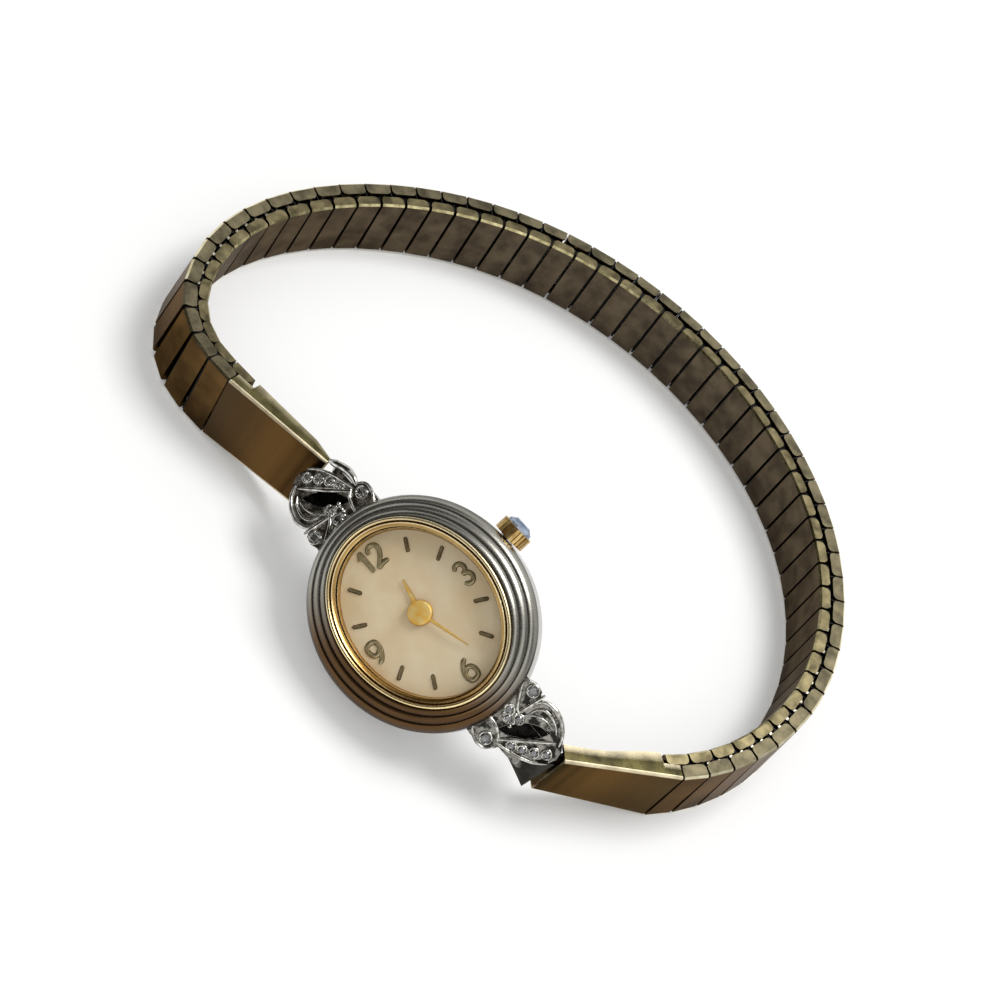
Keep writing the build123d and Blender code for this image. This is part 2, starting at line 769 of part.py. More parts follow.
def lug_plate():
    """The ornamental plate with its slanting pointed hollow, sunk into it from above."""
    outline = Polygon(*[lug_point(share) for share in lug_outline_shares], align=None)
    plate = Pos(0, 0, lug_top - lug_thickness) * extrude(outline, amount=lug_thickness)
    start, end = (Vector(*lug_point(share)) for share in hollow_ends_shares)
    side = (end - start).normalized().rotate(Axis.Z, 90) * (hollow_width / 2)
    middle = (start + end) * 0.5
    hollow = make_face([ThreePointArc(start, middle + side, end), ThreePointArc(end, middle - side, start)])
    cut = Pos(0, 0, lug_top - hollow_depth) * extrude(hollow, amount=hollow_depth + cut_overrun)
    return droop(plate - cut)


def lug():
    """Plate, two ears that carry the bar, and the web between case and ears."""
    shape = lug_plate()
    for inner in (ear_far_inner - ear_thickness, ear_inner):
        profile = Polygon((lug_root, lug_top - lug_thickness), (bar_y, lug_top - lug_thickness - ear_radius),
                          (bar_y + ear_radius, bar_z + ear_radius), (bar_y + ear_radius, bar_z),
                          (bar_y, bar_z - ear_radius), (lug_root, case_low + case_foot_inset),
                          align=None)
        ear = Plane.YZ * profile
        shape += Pos(inner, 0, 0) * extrude(ear, amount=ear_thickness, dir=(1, 0, 0))
    shape -= oval(case_half_long, case_half_short, case_low - cut_overrun, rim_top)
    return shape - along_x(bar_radius + seat_gap, -lug_half_width - cut_overrun,
                           lug_half_width + cut_overrun, bar_z, bar_y)


def lug_bars():
    bar = along_x(bar_radius, ear_far_inner - ear_thickness, ear_inner + ear_thickness, bar_z, bar_y)
    return group([bar, Rot(0, 0, 180) * bar])


def set_stone(share, radius):
    """A round stone standing proud of the lug's plate: a girdle and a tapered crown."""
    x, y = lug_point(share)
    girdle = extrude(Circle(radius), amount=stone_crown / 2)
    crown_part = loft([Pos(0, 0, stone_crown / 2) * Circle(radius),
                       Pos(0, 0, stone_crown) * Circle(radius * stone_table_share)], ruled=True)
    return droop(Pos(x, y, lug_top) * (girdle + crown_part))


def lug_stones():
    stones = [set_stone(share, stone_small_radius) for share in arm_stone_shares + leaf_stone_shares]
    stones += [set_stone(share, stone_large_radius) for share in bead_stone_shares]
    return group(stones + [Rot(0, 0, 180) * stone for stone in stones])


# Band path
def band_line():
    points = [(x * loop_half_length, y * loop_half_depth) for x, y in band_path_shares]
    return Spline(*points)


line = band_line()
link_count = round(line.length / link_pitch)
segment_gaps = tuple(round(share * link_count) for share in segment_gap_shares)
pitch = line.length / link_count


def lift_at(distance):
    """Height and slope that the band gains over the floor as it nears an end piece."""
    from_end = line.length - distance
    if distance < left_lift_run:
        rest = 1 - distance / left_lift_run
        return left_lift * rest * rest, -2 * left_lift * rest / left_lift_run
    if from_end < right_lift_run:
        rest = 1 - from_end / right_lift_run
        return right_lift * rest * rest, 2 * right_lift * rest / right_lift_run
    return 0, 0


def roll_at(share):
    """The band's inward roll, in straight steps between the named values."""
    for (start, low), (end, high) in zip(band_roll, band_roll[1:]):
        if share <= end:
            return low + (high - low) * (share - start) / (end - start)
    return band_roll[-1][1]


def band_frame(distance):
    """The frame on the path: X along the band, Y outwards, Z across the band."""
    place = line.position_at(distance / line.length)
    along = line.tangent_at(distance / line.length)
    lift, slope = lift_at(distance)
    forward = Vector(along.X, along.Y, slope).normalized()
    across = (Vector(0, 0, 1) - forward * forward.Z).normalized()
    across = across.rotate(Axis((0, 0, 0), forward), roll_at(distance / line.length))
    return Plane(origin=(place.X, place.Y, band_width / 2 + lift), x_dir=forward, z_dir=across)


# Links, staples and springs
def shell_link(width, height, gap):
    """An open shell: a roof with lipped ends, and two side walls with rounded free corners."""
    length = pitch - gap
    body = Pos(0, row_gap / 2 + height / 2, 0) * Box(length, height, width)
    top = body.faces().sort_by(Axis.Y)[-1]
    body = chamfer(top.edges().filter_by(Axis.X), link_chamfer)
    inner = width / 2 - link_wall
    low, roof = row_gap / 2, row_gap / 2 + height - link_wall
    body -= block((-length, length), (low - cut_overrun, roof - link_lip), (-inner, inner))
    pocket = length / 2 - link_wall
    body -= block((-pocket, pocket), (low, roof), (-inner, inner))
    return fillet(body.edges().filter_by(Axis.Z).group_by(Axis.Y)[0], link_corner)


def staple(side):
    """A wire staple: a bridge between the rows and a leg into each of them."""
    outer = inner_link_width / 2 - link_wall - staple_side_gap
    reach = leg_gap + staple_leg_height
    half = staple_width / 2
    bridge = block((-half, half), (-reach, reach), (outer - staple_wire, outer))
    legs = block((-half, half), (leg_gap, reach), (outer - staple_leg_length, outer))
    legs += block((-half, half), (-reach, -leg_gap), (outer - staple_leg_length, outer))
    shape = bridge + legs
    return shape if side > 0 else mirror(shape, about=Plane.XY)


def leaf(row):
    """A flat spring that lies under a link's roof and bears on the staples' legs."""
    low = leg_gap + staple_leg_height + spring_gap
    shape = block((-spring_length / 2, spring_length / 2), (low, low + spring_thickness),
                  (-spring_width / 2, spring_width / 2))
    return shape if row > 0 else mirror(shape, about=Plane.XZ)


def band_segments():
    """Solids of every segment: outer links, inner links, and staples with springs."""
    outer_one = shell_link(band_width, outer_link_height, outer_link_gap)
    inner_one = mirror(shell_link(inner_link_width, inner_link_height, inner_link_gap), about=Plane.XZ)
    staples = [staple(side) for side in (-1, 1)]
    edges = segment_gaps + (link_count,)
    segments = []
    for low, high in zip(edges, edges[1:]):
        outer, inner, clips = [], [], []
        for number in range(low, high):
            place = band_frame((number + 0.5) * pitch).location
            outer.append(place * outer_one)
            clips.append(place * leaf(1))
        first = low if low == 0 else low + 1
        for number in range(first, high + 1):
            place = band_frame(number * pitch).location
            inner.append(place * inner_one)
            clips.append(place * leaf(-1))
            for shift in (-staple_offset, staple_offset):
                clips += [place * Pos(shift, 0, 0) * piece for piece in staples]
        segments.append((outer, inner, clips))
    return segments


# End pieces
def hook_point(side):
    """Centre of the hook on its bar: the 12 o'clock bar is at the left."""
    shift = upper_hook_shift if side < 0 else lower_hook_shift
    return in_head(shift, -side * bar_y, bar_z)


def end_frames(side):
    """Two frames of an end piece, at the band and at the head: origin, outward, edge."""
    joint = band_frame(0 if side < 0 else line.length)
    offset, edge = ((left_cover_offset, left_cover_edge) if side < 0
                    else (right_cover_offset, right_cover_edge))
    across, beyond, above = offset
    place, edge = in_head(across, -side * (bar_y + beyond), bar_z + above), Vector(*edge).normalized()
    forward = (place - joint.origin).normalized()
    out = edge.cross(forward).normalized() * side
    near = joint.origin + forward * (outer_link_gap / 2), joint.y_dir, joint.z_dir
    return near, (place, out, edge), forward


def rib(frames, share, width, low, high):
    """A four-cornered face across the end piece, share of the way from band to head."""
    near, far, _ = frames
    place, out, edge = (start + (end - start) * share for start, end in zip(near, far))
    corners = [place + out * depth + edge * (half * width / 2)
               for depth, half in ((low, -1), (high, -1), (high, 1), (low, 1))]
    return make_face(Polyline(*corners, close=True))


def open_edge(share):
    """Level of the cover's open edge, which comes nearer to the roof towards the head."""
    return cover_roof - (cover_depth + (cover_end_depth - cover_depth) * share)


def hull(frames, start, end, inset, low_at, high_at):
    """A tapering body between two ribs, narrower than the end piece by inset on each side."""
    ribs = []
    for share in (start, end):
        width = band_width + (cover_end_width - band_width) * share - 2 * inset
        ribs.append(rib(frames, share, width, low_at(share), high_at(share)))
    return loft(ribs, ruled=True)


def end_length(frames):
    return (frames[1][0] - frames[0][0]).length


def cover(side):
    """A tapering gold cover, open underneath, notched for the last link and for the hook."""
    frames = end_frames(side)
    length = end_length(frames)
    over = cut_overrun / length
    below = lambda share: open_edge(share) - cut_overrun
    shell = hull(frames, 0, 1, 0, open_edge, lambda share: cover_roof)
    shell -= hull(frames, -over, 1 - cover_wall / length, cover_wall, below,
                  lambda share: cover_roof - cover_wall)
    shell -= hull(frames, 1 - over, 1 + over, cover_wall, below, lambda share: cover_slot_top)
    notch = hull(frames, -over, cover_notch / length, -cut_overrun, below, lambda share: row_gap / 2)
    return shell - notch


def hook(side):
    """A liner under the cover that narrows to a tongue and closes round the bar."""
    frames = end_frames(side)
    length = end_length(frames)
    upper = lambda share: open_edge(share) + hook_plate_thickness
    start, end = (cover_notch + part_gap) / length, 1 - tongue_run / length
    liner = hull(frames, start, end, cover_wall + part_gap, open_edge, upper)
    ring_place, pin_line = hook_point(side), head.x_dir
    hinge = (hook_point(-1) - hook_point(1)).normalized()
    turned = max((pin_line.rotate(Axis((0, 0, 0), hinge), angle) for angle in (-hook_tilt, hook_tilt)),
                 key=lambda direction: direction.Z)
    forward = (frames[2] - turned * frames[2].dot(turned)).normalized()
    ring_frame = Plane(origin=ring_place, x_dir=forward, z_dir=turned)
    inward = 1 if side < 0 else -1
    ring = Circle(hook_bore + hook_wall) - Circle(hook_bore)
    ring -= Rot(0, 0, -inward * hook_opening) * Pos(hook_bore + hook_wall, 0) * Rectangle(
        2 * (hook_bore + hook_wall), hook_bore)
    loop = ring_frame.location * extrude(ring, amount=hook_width / 2, both=True)
    back = Plane(origin=ring_place - forward * (hook_bore + hook_wall / 2), x_dir=turned, z_dir=forward)
    root = rib(frames, end, tongue_root_width, open_edge(end), upper(end))
    tongue = loft([root, back * Rectangle(hook_width, hook_wall)], ruled=True)
    return liner + tongue + loop


def build():
    save("case_body", case_shell())
    save("case_back", case_cover())
    save("back_gasket", back_seal())
    save("bezel", stepped_bezel())
    save("bezel_rim", gold_rim())
    save("crystal", glass())
    save("crystal_gasket", glass_seal())
    save("dial", dial_plate())
    save("dial_numerals", numerals())
    save("dial_markers", hour_markers())
    hour_turn = (shown_hour % 12 + shown_minutes / 60) * 30
    save("hour_hand", hand(hour_hand_length, hour_hand_width, hour_boss,
                           cannon_radius + running_gap + hour_pipe_wall, hour_hand_lift, hour_turn))
    save("minute_hand", hand(minute_hand_length, minute_hand_width, minute_boss, cannon_radius,
                             minute_hand_lift, shown_minutes * 6))
    save("hour_wheel", hour_wheel())
    save("centre_wheel", centre_wheel())
    save("minute_wheel", minute_wheel())
    save("third_wheel", geared(1))
    save("step_wheel", geared(2))
    save("rotor", rotor())
    save("main_plate", main_plate())
    save("train_bridge", train_bridge())
    save("circuit_board", circuit_board())
    save("movement_screws", screws())
    save("battery", battery())
    save("battery_clip", battery_clip())
    save("stator", stator())
    save("coil", coil())
    save("movement_ring", movement_ring())
    save("crown_tube", crown_tube())
    save("crown", crown())
    save("crown_stone", crown_stone())
    save("stem", stem())
    save("detent_slide", detent_slide())
    save("upper_lug", lug())
    save("lower_lug", Rot(0, 0, 180) * lug())
    save("lug_bars", lug_bars())
    save("lug_stones", lug_stones())
    for name, shape in written:
        shape.locate(head.location * shape.location)
    for number, (outer, inner, clips) in enumerate(band_segments(), start=1):
        save(f"outer_links_{number}", group(outer))
        save(f"inner_links_{number}", group(inner))
        save(f"link_clips_{number}", group(clips))
    for side, name in ((-1, "upper"), (1, "lower")):
        save(f"{name}_end_piece", cover(side))
        save(f"{name}_hook", hook(side))


def place_line(name, point, direction, shift):
    """Prints a joint's anchor and direction, in metres, for the record."""
    place = [round(float(value) / 1000, 7) for value in (point + shift)]
    print("PLACE", name, place, [round(float(value), 7) for value in direction])


def main():
    build()
    boxes = [shape.bounding_box() for _, shape in written]
    low = [min(getattr(box.min, axis) for box in boxes) for axis in "XYZ"]
    high = [max(getattr(box.max, axis) for box in boxes) for axis in "XYZ"]
    shift = Vector(-(low[0] + high[0]) / 2, -(low[1] + high[1]) / 2, -low[2])
    os.makedirs("parts", exist_ok=True)
    for name, shape in written:
        export_step(Pos(*shift) * shape, f"parts/{name}.step")
    print("BOX", low, high, "links", link_count, "pitch", pitch)
    upper, lower = hook_point(-1), hook_point(1)
    place_line("head_tilt", upper, (upper - lower).normalized(), shift)
    place_line("dial", in_head(0, 0, dial_top), head.z_dir, shift)
    place_line("three", in_head(case_half_short, 0, stem_z), head.x_dir, shift)
    place_line("stem", in_head(0, 0, stem_z), head.x_dir, shift)
    place_line("twelve", in_head(0, 0, 0), head.y_dir, shift)
    place_line("case_back", in_head(0, 0, back_low), head.z_dir * -1, shift)
    link = band_frame((link_count // 2 + 0.5) * pitch)
    place_line("rest", link.origin + link.y_dir * (row_gap + outer_link_height) / 2
               - link.z_dir * (band_width / 2), link.z_dir * -1, shift)
    place_line("minute_wheel", in_head(*motion_place(), 0), head.z_dir, shift)
    for name, place in zip(("third_wheel", "step_wheel", "rotor"), train_places()[1:]):
        place_line(name, in_head(*place, 0), head.z_dir, shift)
    for number in range(link_count + 1):
        frame = band_frame(number * pitch)
        place_line(f"gap_{number}", frame.origin, frame.x_dir, shift)


main()
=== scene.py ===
import json
import math
import bpy
import bmesh
import numpy as np
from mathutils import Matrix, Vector

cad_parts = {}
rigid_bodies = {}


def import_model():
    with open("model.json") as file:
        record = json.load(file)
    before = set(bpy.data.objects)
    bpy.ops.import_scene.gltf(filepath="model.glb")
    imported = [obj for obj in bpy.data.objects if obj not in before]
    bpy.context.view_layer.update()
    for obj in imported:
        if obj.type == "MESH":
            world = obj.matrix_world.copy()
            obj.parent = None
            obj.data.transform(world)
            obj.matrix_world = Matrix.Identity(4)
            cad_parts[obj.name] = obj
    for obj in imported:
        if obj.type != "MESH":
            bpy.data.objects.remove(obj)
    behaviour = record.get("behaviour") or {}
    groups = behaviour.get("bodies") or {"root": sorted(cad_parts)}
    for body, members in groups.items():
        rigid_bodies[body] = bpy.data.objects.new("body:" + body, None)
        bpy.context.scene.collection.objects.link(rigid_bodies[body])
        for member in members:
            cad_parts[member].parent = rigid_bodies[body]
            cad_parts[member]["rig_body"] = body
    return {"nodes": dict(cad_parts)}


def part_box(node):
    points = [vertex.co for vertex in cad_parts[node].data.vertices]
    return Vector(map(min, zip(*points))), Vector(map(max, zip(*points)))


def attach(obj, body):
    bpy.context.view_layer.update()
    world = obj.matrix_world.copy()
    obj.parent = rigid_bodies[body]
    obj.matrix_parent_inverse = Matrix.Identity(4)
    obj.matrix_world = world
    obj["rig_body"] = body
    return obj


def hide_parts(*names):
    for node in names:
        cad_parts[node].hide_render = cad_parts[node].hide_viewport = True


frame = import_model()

# Oval watch on an expansion band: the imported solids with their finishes, plus what a maker adds by hand.
mm = 0.001
mergeGap = 0.0005 * mm  # points nearer than this are one point
stretches = range(1, 7)  # the band's runs of links that move separately
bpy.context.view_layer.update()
nodes = frame["nodes"]

# The head's place, as in the solids: X to 3 o'clock, Y to 12 o'clock, Z out of the dial
headPlace = {"turn": 166.0, "slope": -1.0, "lean": 48.0, "dialLow": 0.95, "dialThickness": 0.3}


def headAxes(place):
    # twelve points along the turned, slightly sloping line; three leans back from upright
    turn, slope, lean = (math.radians(place[key]) for key in ("turn", "slope", "lean"))
    twelve = Vector((math.cos(slope) * math.cos(turn), math.cos(slope) * math.sin(turn), math.sin(slope)))
    upright = (Vector((0, 0, 1)) - twelve * twelve.z).normalized()
    forward = upright.cross(twelve)
    three = (upright * math.cos(lean) - forward * math.sin(lean)).normalized()
    return np.array([three, twelve, three.cross(twelve)])


def boxCentre(name):
    low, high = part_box(name)
    return np.array((low + high) / 2)


axes = headAxes(headPlace)
headCentre = boxCentre("dial") - axes[2] * (headPlace["dialLow"] + headPlace["dialThickness"] / 2) * mm


def inHead(points):
    # points in millimetres of the head's frame, to metres of the whole watch's frame
    return headCentre + np.asarray(points, float) @ axes * mm


def toHead(points):
    return (np.asarray(points, float) - headCentre) @ axes.T / mm


def unit(rows):
    # each row brought to length one
    return rows / np.linalg.norm(rows, axis=-1, keepdims=True)


print("frame: head at", np.round(headCentre / mm, 2))

# Camera: solved from the photograph, an 83 mm lens about 20 cm from the watch
cameraView = {"target": (0.776, 1.045, 0.0), "distance": 204.37, "elevation": 49.594, "roll": 38.023,
              "lens": 82.8, "sensor": 36, "nearest": 10.0}


def placeCamera(view):
    elevation, roll = math.radians(view["elevation"]), math.radians(view["roll"])
    back = Vector((0, -math.cos(elevation), math.sin(elevation)))
    level = Vector((1, 0, 0))
    upright = back.cross(level)
    right = level * math.cos(roll) + upright * math.sin(roll)
    up = upright * math.cos(roll) - level * math.sin(roll)
    data = bpy.data.cameras.new("photoCamera")
    data.lens = view["lens"]
    data.sensor_width = view["sensor"]
    data.clip_start = view["nearest"] * mm
    camera = bpy.data.objects.new("photoCamera", data)
    camera.matrix_world = [
        [right[i], up[i], back[i], view["target"][i] * mm + back[i] * view["distance"] * mm] for i in range(3)
    ] + [[0, 0, 0, 1]]
    camera.matrix_world.transpose()
    bpy.context.scene.collection.objects.link(camera)
    bpy.context.scene.camera = camera


placeCamera(cameraView)
print("camera placed")


# Floor, light and air: sizes and places in metres
studio = {"floorSize": 4.0, "floorTone": "#fdfdfc", "floorGlow": 0.14, "glowStrength": 1.2,
          "worldStrength": 0.53, "wallTones": ((0.40, "#2a241d"), (0.58, "#ffffff")), "wallScale": 1.1,
          "boxSize": 0.16, "boxPower": 0.82, "boxAt": (0.08, 0.12, 0.34),
          "fillSize": 0.22, "fillPower": 0.08, "fillAt": (0.10, -0.26, 0.20)}


def toLinear(hexText):
    # sRGB hex to linear light, channel by channel
    values = [int(hexText[i:i + 2], 16) / 255 for i in (1, 3, 5)]
    return [v / 12.92 if v <= 0.04045 else ((v + 0.055) / 1.055) ** 2.4 for v in values] + [1.0]


def addNode(tree, kind, inputs=None, settings=None, stops=None):
    # one node: each input is a value, or (node, output) to link; settings are its attributes, and
    # stops are a colour ramp's (position, tone) in order
    node = tree.nodes.new("ShaderNode" + kind)
    for key, value in (settings or {}).items():
        setattr(node, key, value)
    for key, value in (inputs or {}).items():
        if isinstance(value, tuple) and len(value) == 2 and isinstance(value[0], bpy.types.Node):
            tree.links.new(value[0].outputs[value[1]], node.inputs[key])
        else:
            node.inputs[key].default_value = value
    if stops:
        ramp = node.color_ramp.elements
        for number, (position, tone) in ((0, stops[0]), (1, stops[-1])):
            ramp[number].position, ramp[number].color = position, toLinear(tone)
        for position, tone in stops[1:-1]:
            ramp.new(position).color = toLinear(tone)
    return node


def newMaterial(name):
    material = bpy.data.materials.new(name)
    material.use_nodes = True
    material.node_tree.nodes.clear()
    return material, material.node_tree


def buildStudio(look):
    half = look["floorSize"] / 2
    mesh = bpy.data.meshes.new("floor")
    corners = [(-half, -half, 0), (half, -half, 0), (half, half, 0), (-half, half, 0)]
    mesh.from_pydata(corners, [], [(0, 1, 2, 3)])
    floor = bpy.data.objects.new("floor", mesh)
    bpy.context.scene.collection.objects.link(floor)
    material, tree = newMaterial("paperSweep")
    # plain white paper: matt, lifted towards white where the lens or a polished surface sees it
    path = addNode(tree, "LightPath")
    seen = addNode(tree, "Math", {0: (path, "Is Camera Ray"), 1: (path, "Is Glossy Ray")},
                   {"operation": "MAXIMUM"})
    seen = addNode(tree, "Math", {0: (seen, 0), 1: (path, "Is Transmission Ray")}, {"operation": "MAXIMUM"})
    amount = addNode(tree, "Math", {0: (seen, 0), 1: look["floorGlow"]}, {"operation": "MULTIPLY"})
    paper = addNode(tree, "BsdfDiffuse", {"Color": toLinear(look["floorTone"])})
    glow = addNode(tree, "Emission", {"Color": (1, 1, 1, 1), "Strength": look["glowStrength"]})
    mixed = addNode(tree, "MixShader", {0: (amount, 0), 1: (paper, 0), 2: (glow, 0)})
    addNode(tree, "OutputMaterial", {"Surface": (mixed, 0)})
    mesh.materials.append(material)
    world = bpy.data.worlds.new("studioAir")
    world.use_nodes = True
    bpy.context.scene.world = world
    air = world.node_tree
    air.nodes.clear()
    # even light for matt surfaces; polished ones mirror a room with bright and dim walls
    coords = addNode(air, "TexCoord")
    room = addNode(air, "TexNoise", {"Vector": (coords, "Generated"), "Scale": look["wallScale"],
                                     "Detail": 0.0})
    walls = addNode(air, "ValToRGB", {"Fac": (room, "Fac")}, stops=look["wallTones"])
    path = addNode(air, "LightPath")
    tone = addNode(air, "Mix", {0: (path, "Is Glossy Ray"), 6: (1, 1, 1, 1), 7: (walls, "Color")},
                   {"data_type": "RGBA"})
    strength = addNode(air, "MapRange", {"Value": (path, "Is Glossy Ray"), "To Min": look["worldStrength"],
                                         "To Max": 1.0})
    sky = addNode(air, "Background", {"Color": (tone, 2), "Strength": (strength, 0)})
    addNode(air, "OutputWorld", {"Surface": (sky, 0)})
    for name in ("box", "fill"):
        lamp = bpy.data.lights.new(name + "Light", "AREA")
        lamp.size = look[name + "Size"]
        lamp.energy = look[name + "Power"]
        holder = bpy.data.objects.new(name + "Light", lamp)
        place = Vector(look[name + "At"])
        holder.matrix_world = place.to_track_quat("Z", "Y").to_matrix().to_4x4()
        holder.location = place
        bpy.context.scene.collection.objects.link(holder)


buildStudio(studio)
bpy.context.scene.view_settings.view_transform = "Standard"
print("studio ready")


# Finishes
# Where most of a noise's values lie, the span of them between a finish's two tones, and the detail and
# crispness of a bare metal's drift and grain
noiseLook = {"range": (0.3, 0.7), "span": 0.14, "drift": (3.0, 0.55), "grain": (4.0, 0.7)}


def grainedGloss(tree, place, look, detail=3.0, crisp=0.5):
    # fine grain breaks a surface's gloss: the grain, and the roughness that follows it
    grain = addNode(tree, "TexNoise", {"Vector": (place, "Object"), "Scale": 1 / (look["grainMm"] * mm),
                                       "Detail": detail, "Roughness": crisp})
    low, high = noiseLook["range"]
    rough = addNode(tree, "MapRange", {"Value": (grain, "Fac"), "From Min": low, "From Max": high,
                                       "To Min": look["rough"][0], "To Max": look["rough"][1]})
    return grain, rough


def metalFinish(name, look):
    # a metal's two tones drift over a few millimetres, fine grain breaks its gloss, and scratches dent it
    material, tree = newMaterial(name)
    place = addNode(tree, "TexCoord")
    detail, crisp = noiseLook["drift"]
    drift = addNode(tree, "TexNoise", {"Vector": (place, "Object"), "Scale": 1 / (look["driftMm"] * mm),
                                       "Detail": detail, "Roughness": crisp})
    span = look.get("driftSpan", noiseLook["span"])
    tones = addNode(tree, "ValToRGB", {"Fac": (drift, "Fac")},
                    stops=((0.5 - span, look["deep"]), (0.5 + span, look["light"])))
    grain, rough = grainedGloss(tree, place, look, *noiseLook["grain"])
    bump = addNode(tree, "Bump", {"Height": (grain, "Fac"), "Strength": look["bump"],
                                  "Distance": look["grainMm"] * mm / 2})
    shader = addNode(tree, "BsdfPrincipled", {
        "Base Color": (tones, "Color"), "Metallic": look.get("metallic", 1.0), "Roughness": (rough, 0),
        "Normal": (bump, 0), "Specular Tint": toLinear(look.get("graze", "#ffffff"))})
    addNode(tree, "OutputMaterial", {"Surface": (shader, 0)})
    return material


# Each finish: its deep and light tones, the drift between them and its grain in millimetres, its roughness
# and its bump
finishKeys = ("deep", "light", "driftMm", "grainMm", "rough", "bump")
finishes = {
    # gold-filled brass, polished and worn; its bronze-brown is a painted reflection of a dark room
    "goldFace": ("#3b2c1a", "#634b2c", 5, 0.10, (0.22, 0.36), 0.04),
    # the same plate on the links' sides, rubbed satin; its olive tone is a painted reflection
    "goldSide": ("#4a4536", "#736b54", 1.6, 0.08, (0.36, 0.52), 0.08),
    # painted highlight: a pale cream along the plate's chamfered edge
    "goldEdgeHighlight": ("#cdc39a", "#efe7c8", 1.5, 0.08, (0.18, 0.30), 0.03),
    # stainless steel, rolled and lightly brushed across the band
    "satinSteel": ("#42392f", "#5e5343", 2.2, 0.07, (0.30, 0.50), 0.12),
    # the same steel on the links' tops, painted lighter where they face the light
    "steelSide": ("#514a36", "#827859", 1.4, 0.08, (0.26, 0.4), 0.06),
    # painted highlight: a pale tone along the steel's chamfered edges
    "steelEdgeHighlight": ("#8f875f", "#dccfa0", 0.8, 0.08, (0.2, 0.34), 0.04),
    # bright spring wire
    "springSteel": ("#a8a496", "#d8d3c4", 1.0, 0.06, (0.2, 0.34), 0.03),
    # brass case plated with white metal and polished
    "whitePlate": ("#5e5a52", "#a7a398", 4.0, 0.06, (0.12, 0.22), 0.02),
    # cast white metal of the lugs, its skin uneven, worn bright on top
    "whiteCast": ("#6b675d", "#e2dfd5", 0.7, 0.16, (0.14, 0.30), 0.45),
    # the same metal in a hollow, near-black
    "castHollow": ("#0c0c0b", "#23221f", 0.6, 0.10, (0.35, 0.55), 0.10),
    # a lug's wall below its plate, smooth and dark
    "castWall": ("#5e5a52", "#99958a", 1.6, 0.08, (0.18, 0.32), 0.05),
    # painted shade: the lower lug's plates, the same cast metal made darker as its shaded side
    "shadedCast": ("#2d2c28", "#97958d", 0.7, 0.16, (0.16, 0.32), 0.40),
    # painted shade: the lower lug's raised work, the bright casting made a little darker
    "wornCast": ("#85837b", "#e0ded7", 0.5, 0.08, (0.10, 0.22), 0.05),
    # smooth cast wall, painted near-black as a reflection of the dark side of the room
    "castShade": ("#1b1a18", "#3d3b37", 1.6, 0.08, (0.16, 0.28), 0.03),
    # painted shade between the links: near-black
    "gapShade": ("#060505", "#12100d", 0.5, 0.06, (0.45, 0.65), 0.10),
    # crown: gold plate over knurled brass, kept bright by the thumb
    "crownGold": ("#ae8a4c", "#e6cd92", 0.8, 0.05, (0.28, 0.42), 0.03),
    # gold plate, polished; the hands' gilding is lacquered and so less like a mirror
    "yellowGold": ("#a8803a", "#d9b665", 1.2, 0.06, (0.14, 0.26), 0.03),
    "handGold": ("#ffc95e", "#ffe096", 0.6, 0.05, (0.34, 0.48), 0.02),
    # sides of the marks and hands, in shade
    "markEdge": ("#4a3a26", "#6e5a3e", 0.5, 0.06, (0.25, 0.4), 0.02),
    "handEdge": ("#9a7428", "#b98f3c", 0.5, 0.06, (0.25, 0.4), 0.02),
    # cast edges and raised work, polished by wear and painted lighter as highlights
    "castEdge": ("#8e8c86", "#d8d6d0", 0.6, 0.08, (0.12, 0.24), 0.05),
    "brightCast": ("#8a8882", "#e6e5e0", 0.5, 0.08, (0.08, 0.2), 0.05),
    # polished gilt marks, drawn metals and blanked sheet of the movement
    "dialMarks": ("#c9b48a", "#e8d8b2", 0.5, 0.06, (0.25, 0.4), 0.04),
    "brass": ("#a58842", "#cbb069", 1.2, 0.06, (0.24, 0.38), 0.03),
    "nickel": ("#8d8b85", "#bab8b0", 1.5, 0.06, (0.22, 0.36), 0.04),
    "copperWire": ("#8a4a28", "#b56a3c", 0.8, 0.06, (0.25, 0.4), 0.10),
    # case back: stainless steel, brushed
    "brushedBack": ("#8c8a84", "#b5b3ac", 3.0, 0.10, (0.28, 0.42), 0.10),
    # pale blue glass stone, foiled behind
    "stoneCap": ("#5f6f86", "#a7b4c6", 0.6, 0.08, (0.08, 0.16), 0.02),
    # moulded plastic, rubber and board
    "ringPlastic": ("#d8d5cc", "#e8e6de", 2.0, 0.08, (0.45, 0.6), 0.05),
    "sealRubber": ("#1c1c1c", "#2a2a2a", 1.0, 0.06, (0.6, 0.75), 0.06),
    "boardGreen": ("#1f4a30", "#2d6a45", 1.0, 0.08, (0.4, 0.55), 0.05),
    # satin lacquer over a fine grained dial plate
    "dialLacquer": ("#f2d9b2", "#fceacb", 3.2, 0.16, (0.34, 0.5), 0.18),
}
# What sets some apart: a paler graze keeps a dark metal's edges from turning black, a narrow drift makes
# patches, and a finish that isn't bare metal is only partly metallic
finishOwn = {
    "goldFace": {"graze": "#cbc3bc"}, "satinSteel": {"graze": "#cbc3bc"}, "whiteCast": {"driftSpan": 0.07},
    "shadedCast": {"driftSpan": 0.07}, "castShade": {"graze": "#c4c2bc"}, "gapShade": {"metallic": 0.6},
    "handGold": {"metallic": 0.4}, "stoneCap": {"metallic": 0.35}, "ringPlastic": {"metallic": 0.0},
    "sealRubber": {"metallic": 0.0}, "boardGreen": {"metallic": 0.0}, "dialLacquer": {"metallic": 0.1},
}
metals = {name: metalFinish(name, dict(zip(finishKeys, row), **finishOwn.get(name, {})))
          for name, row in finishes.items()}

# Clear mineral glass and cut stones: faint haze from wear, and a shadow nearly as light as the room
glassLook = {"hazeMm": 1.5, "wear": 0.03, "shadowTone": (0.95, 0.95, 0.94, 1)}


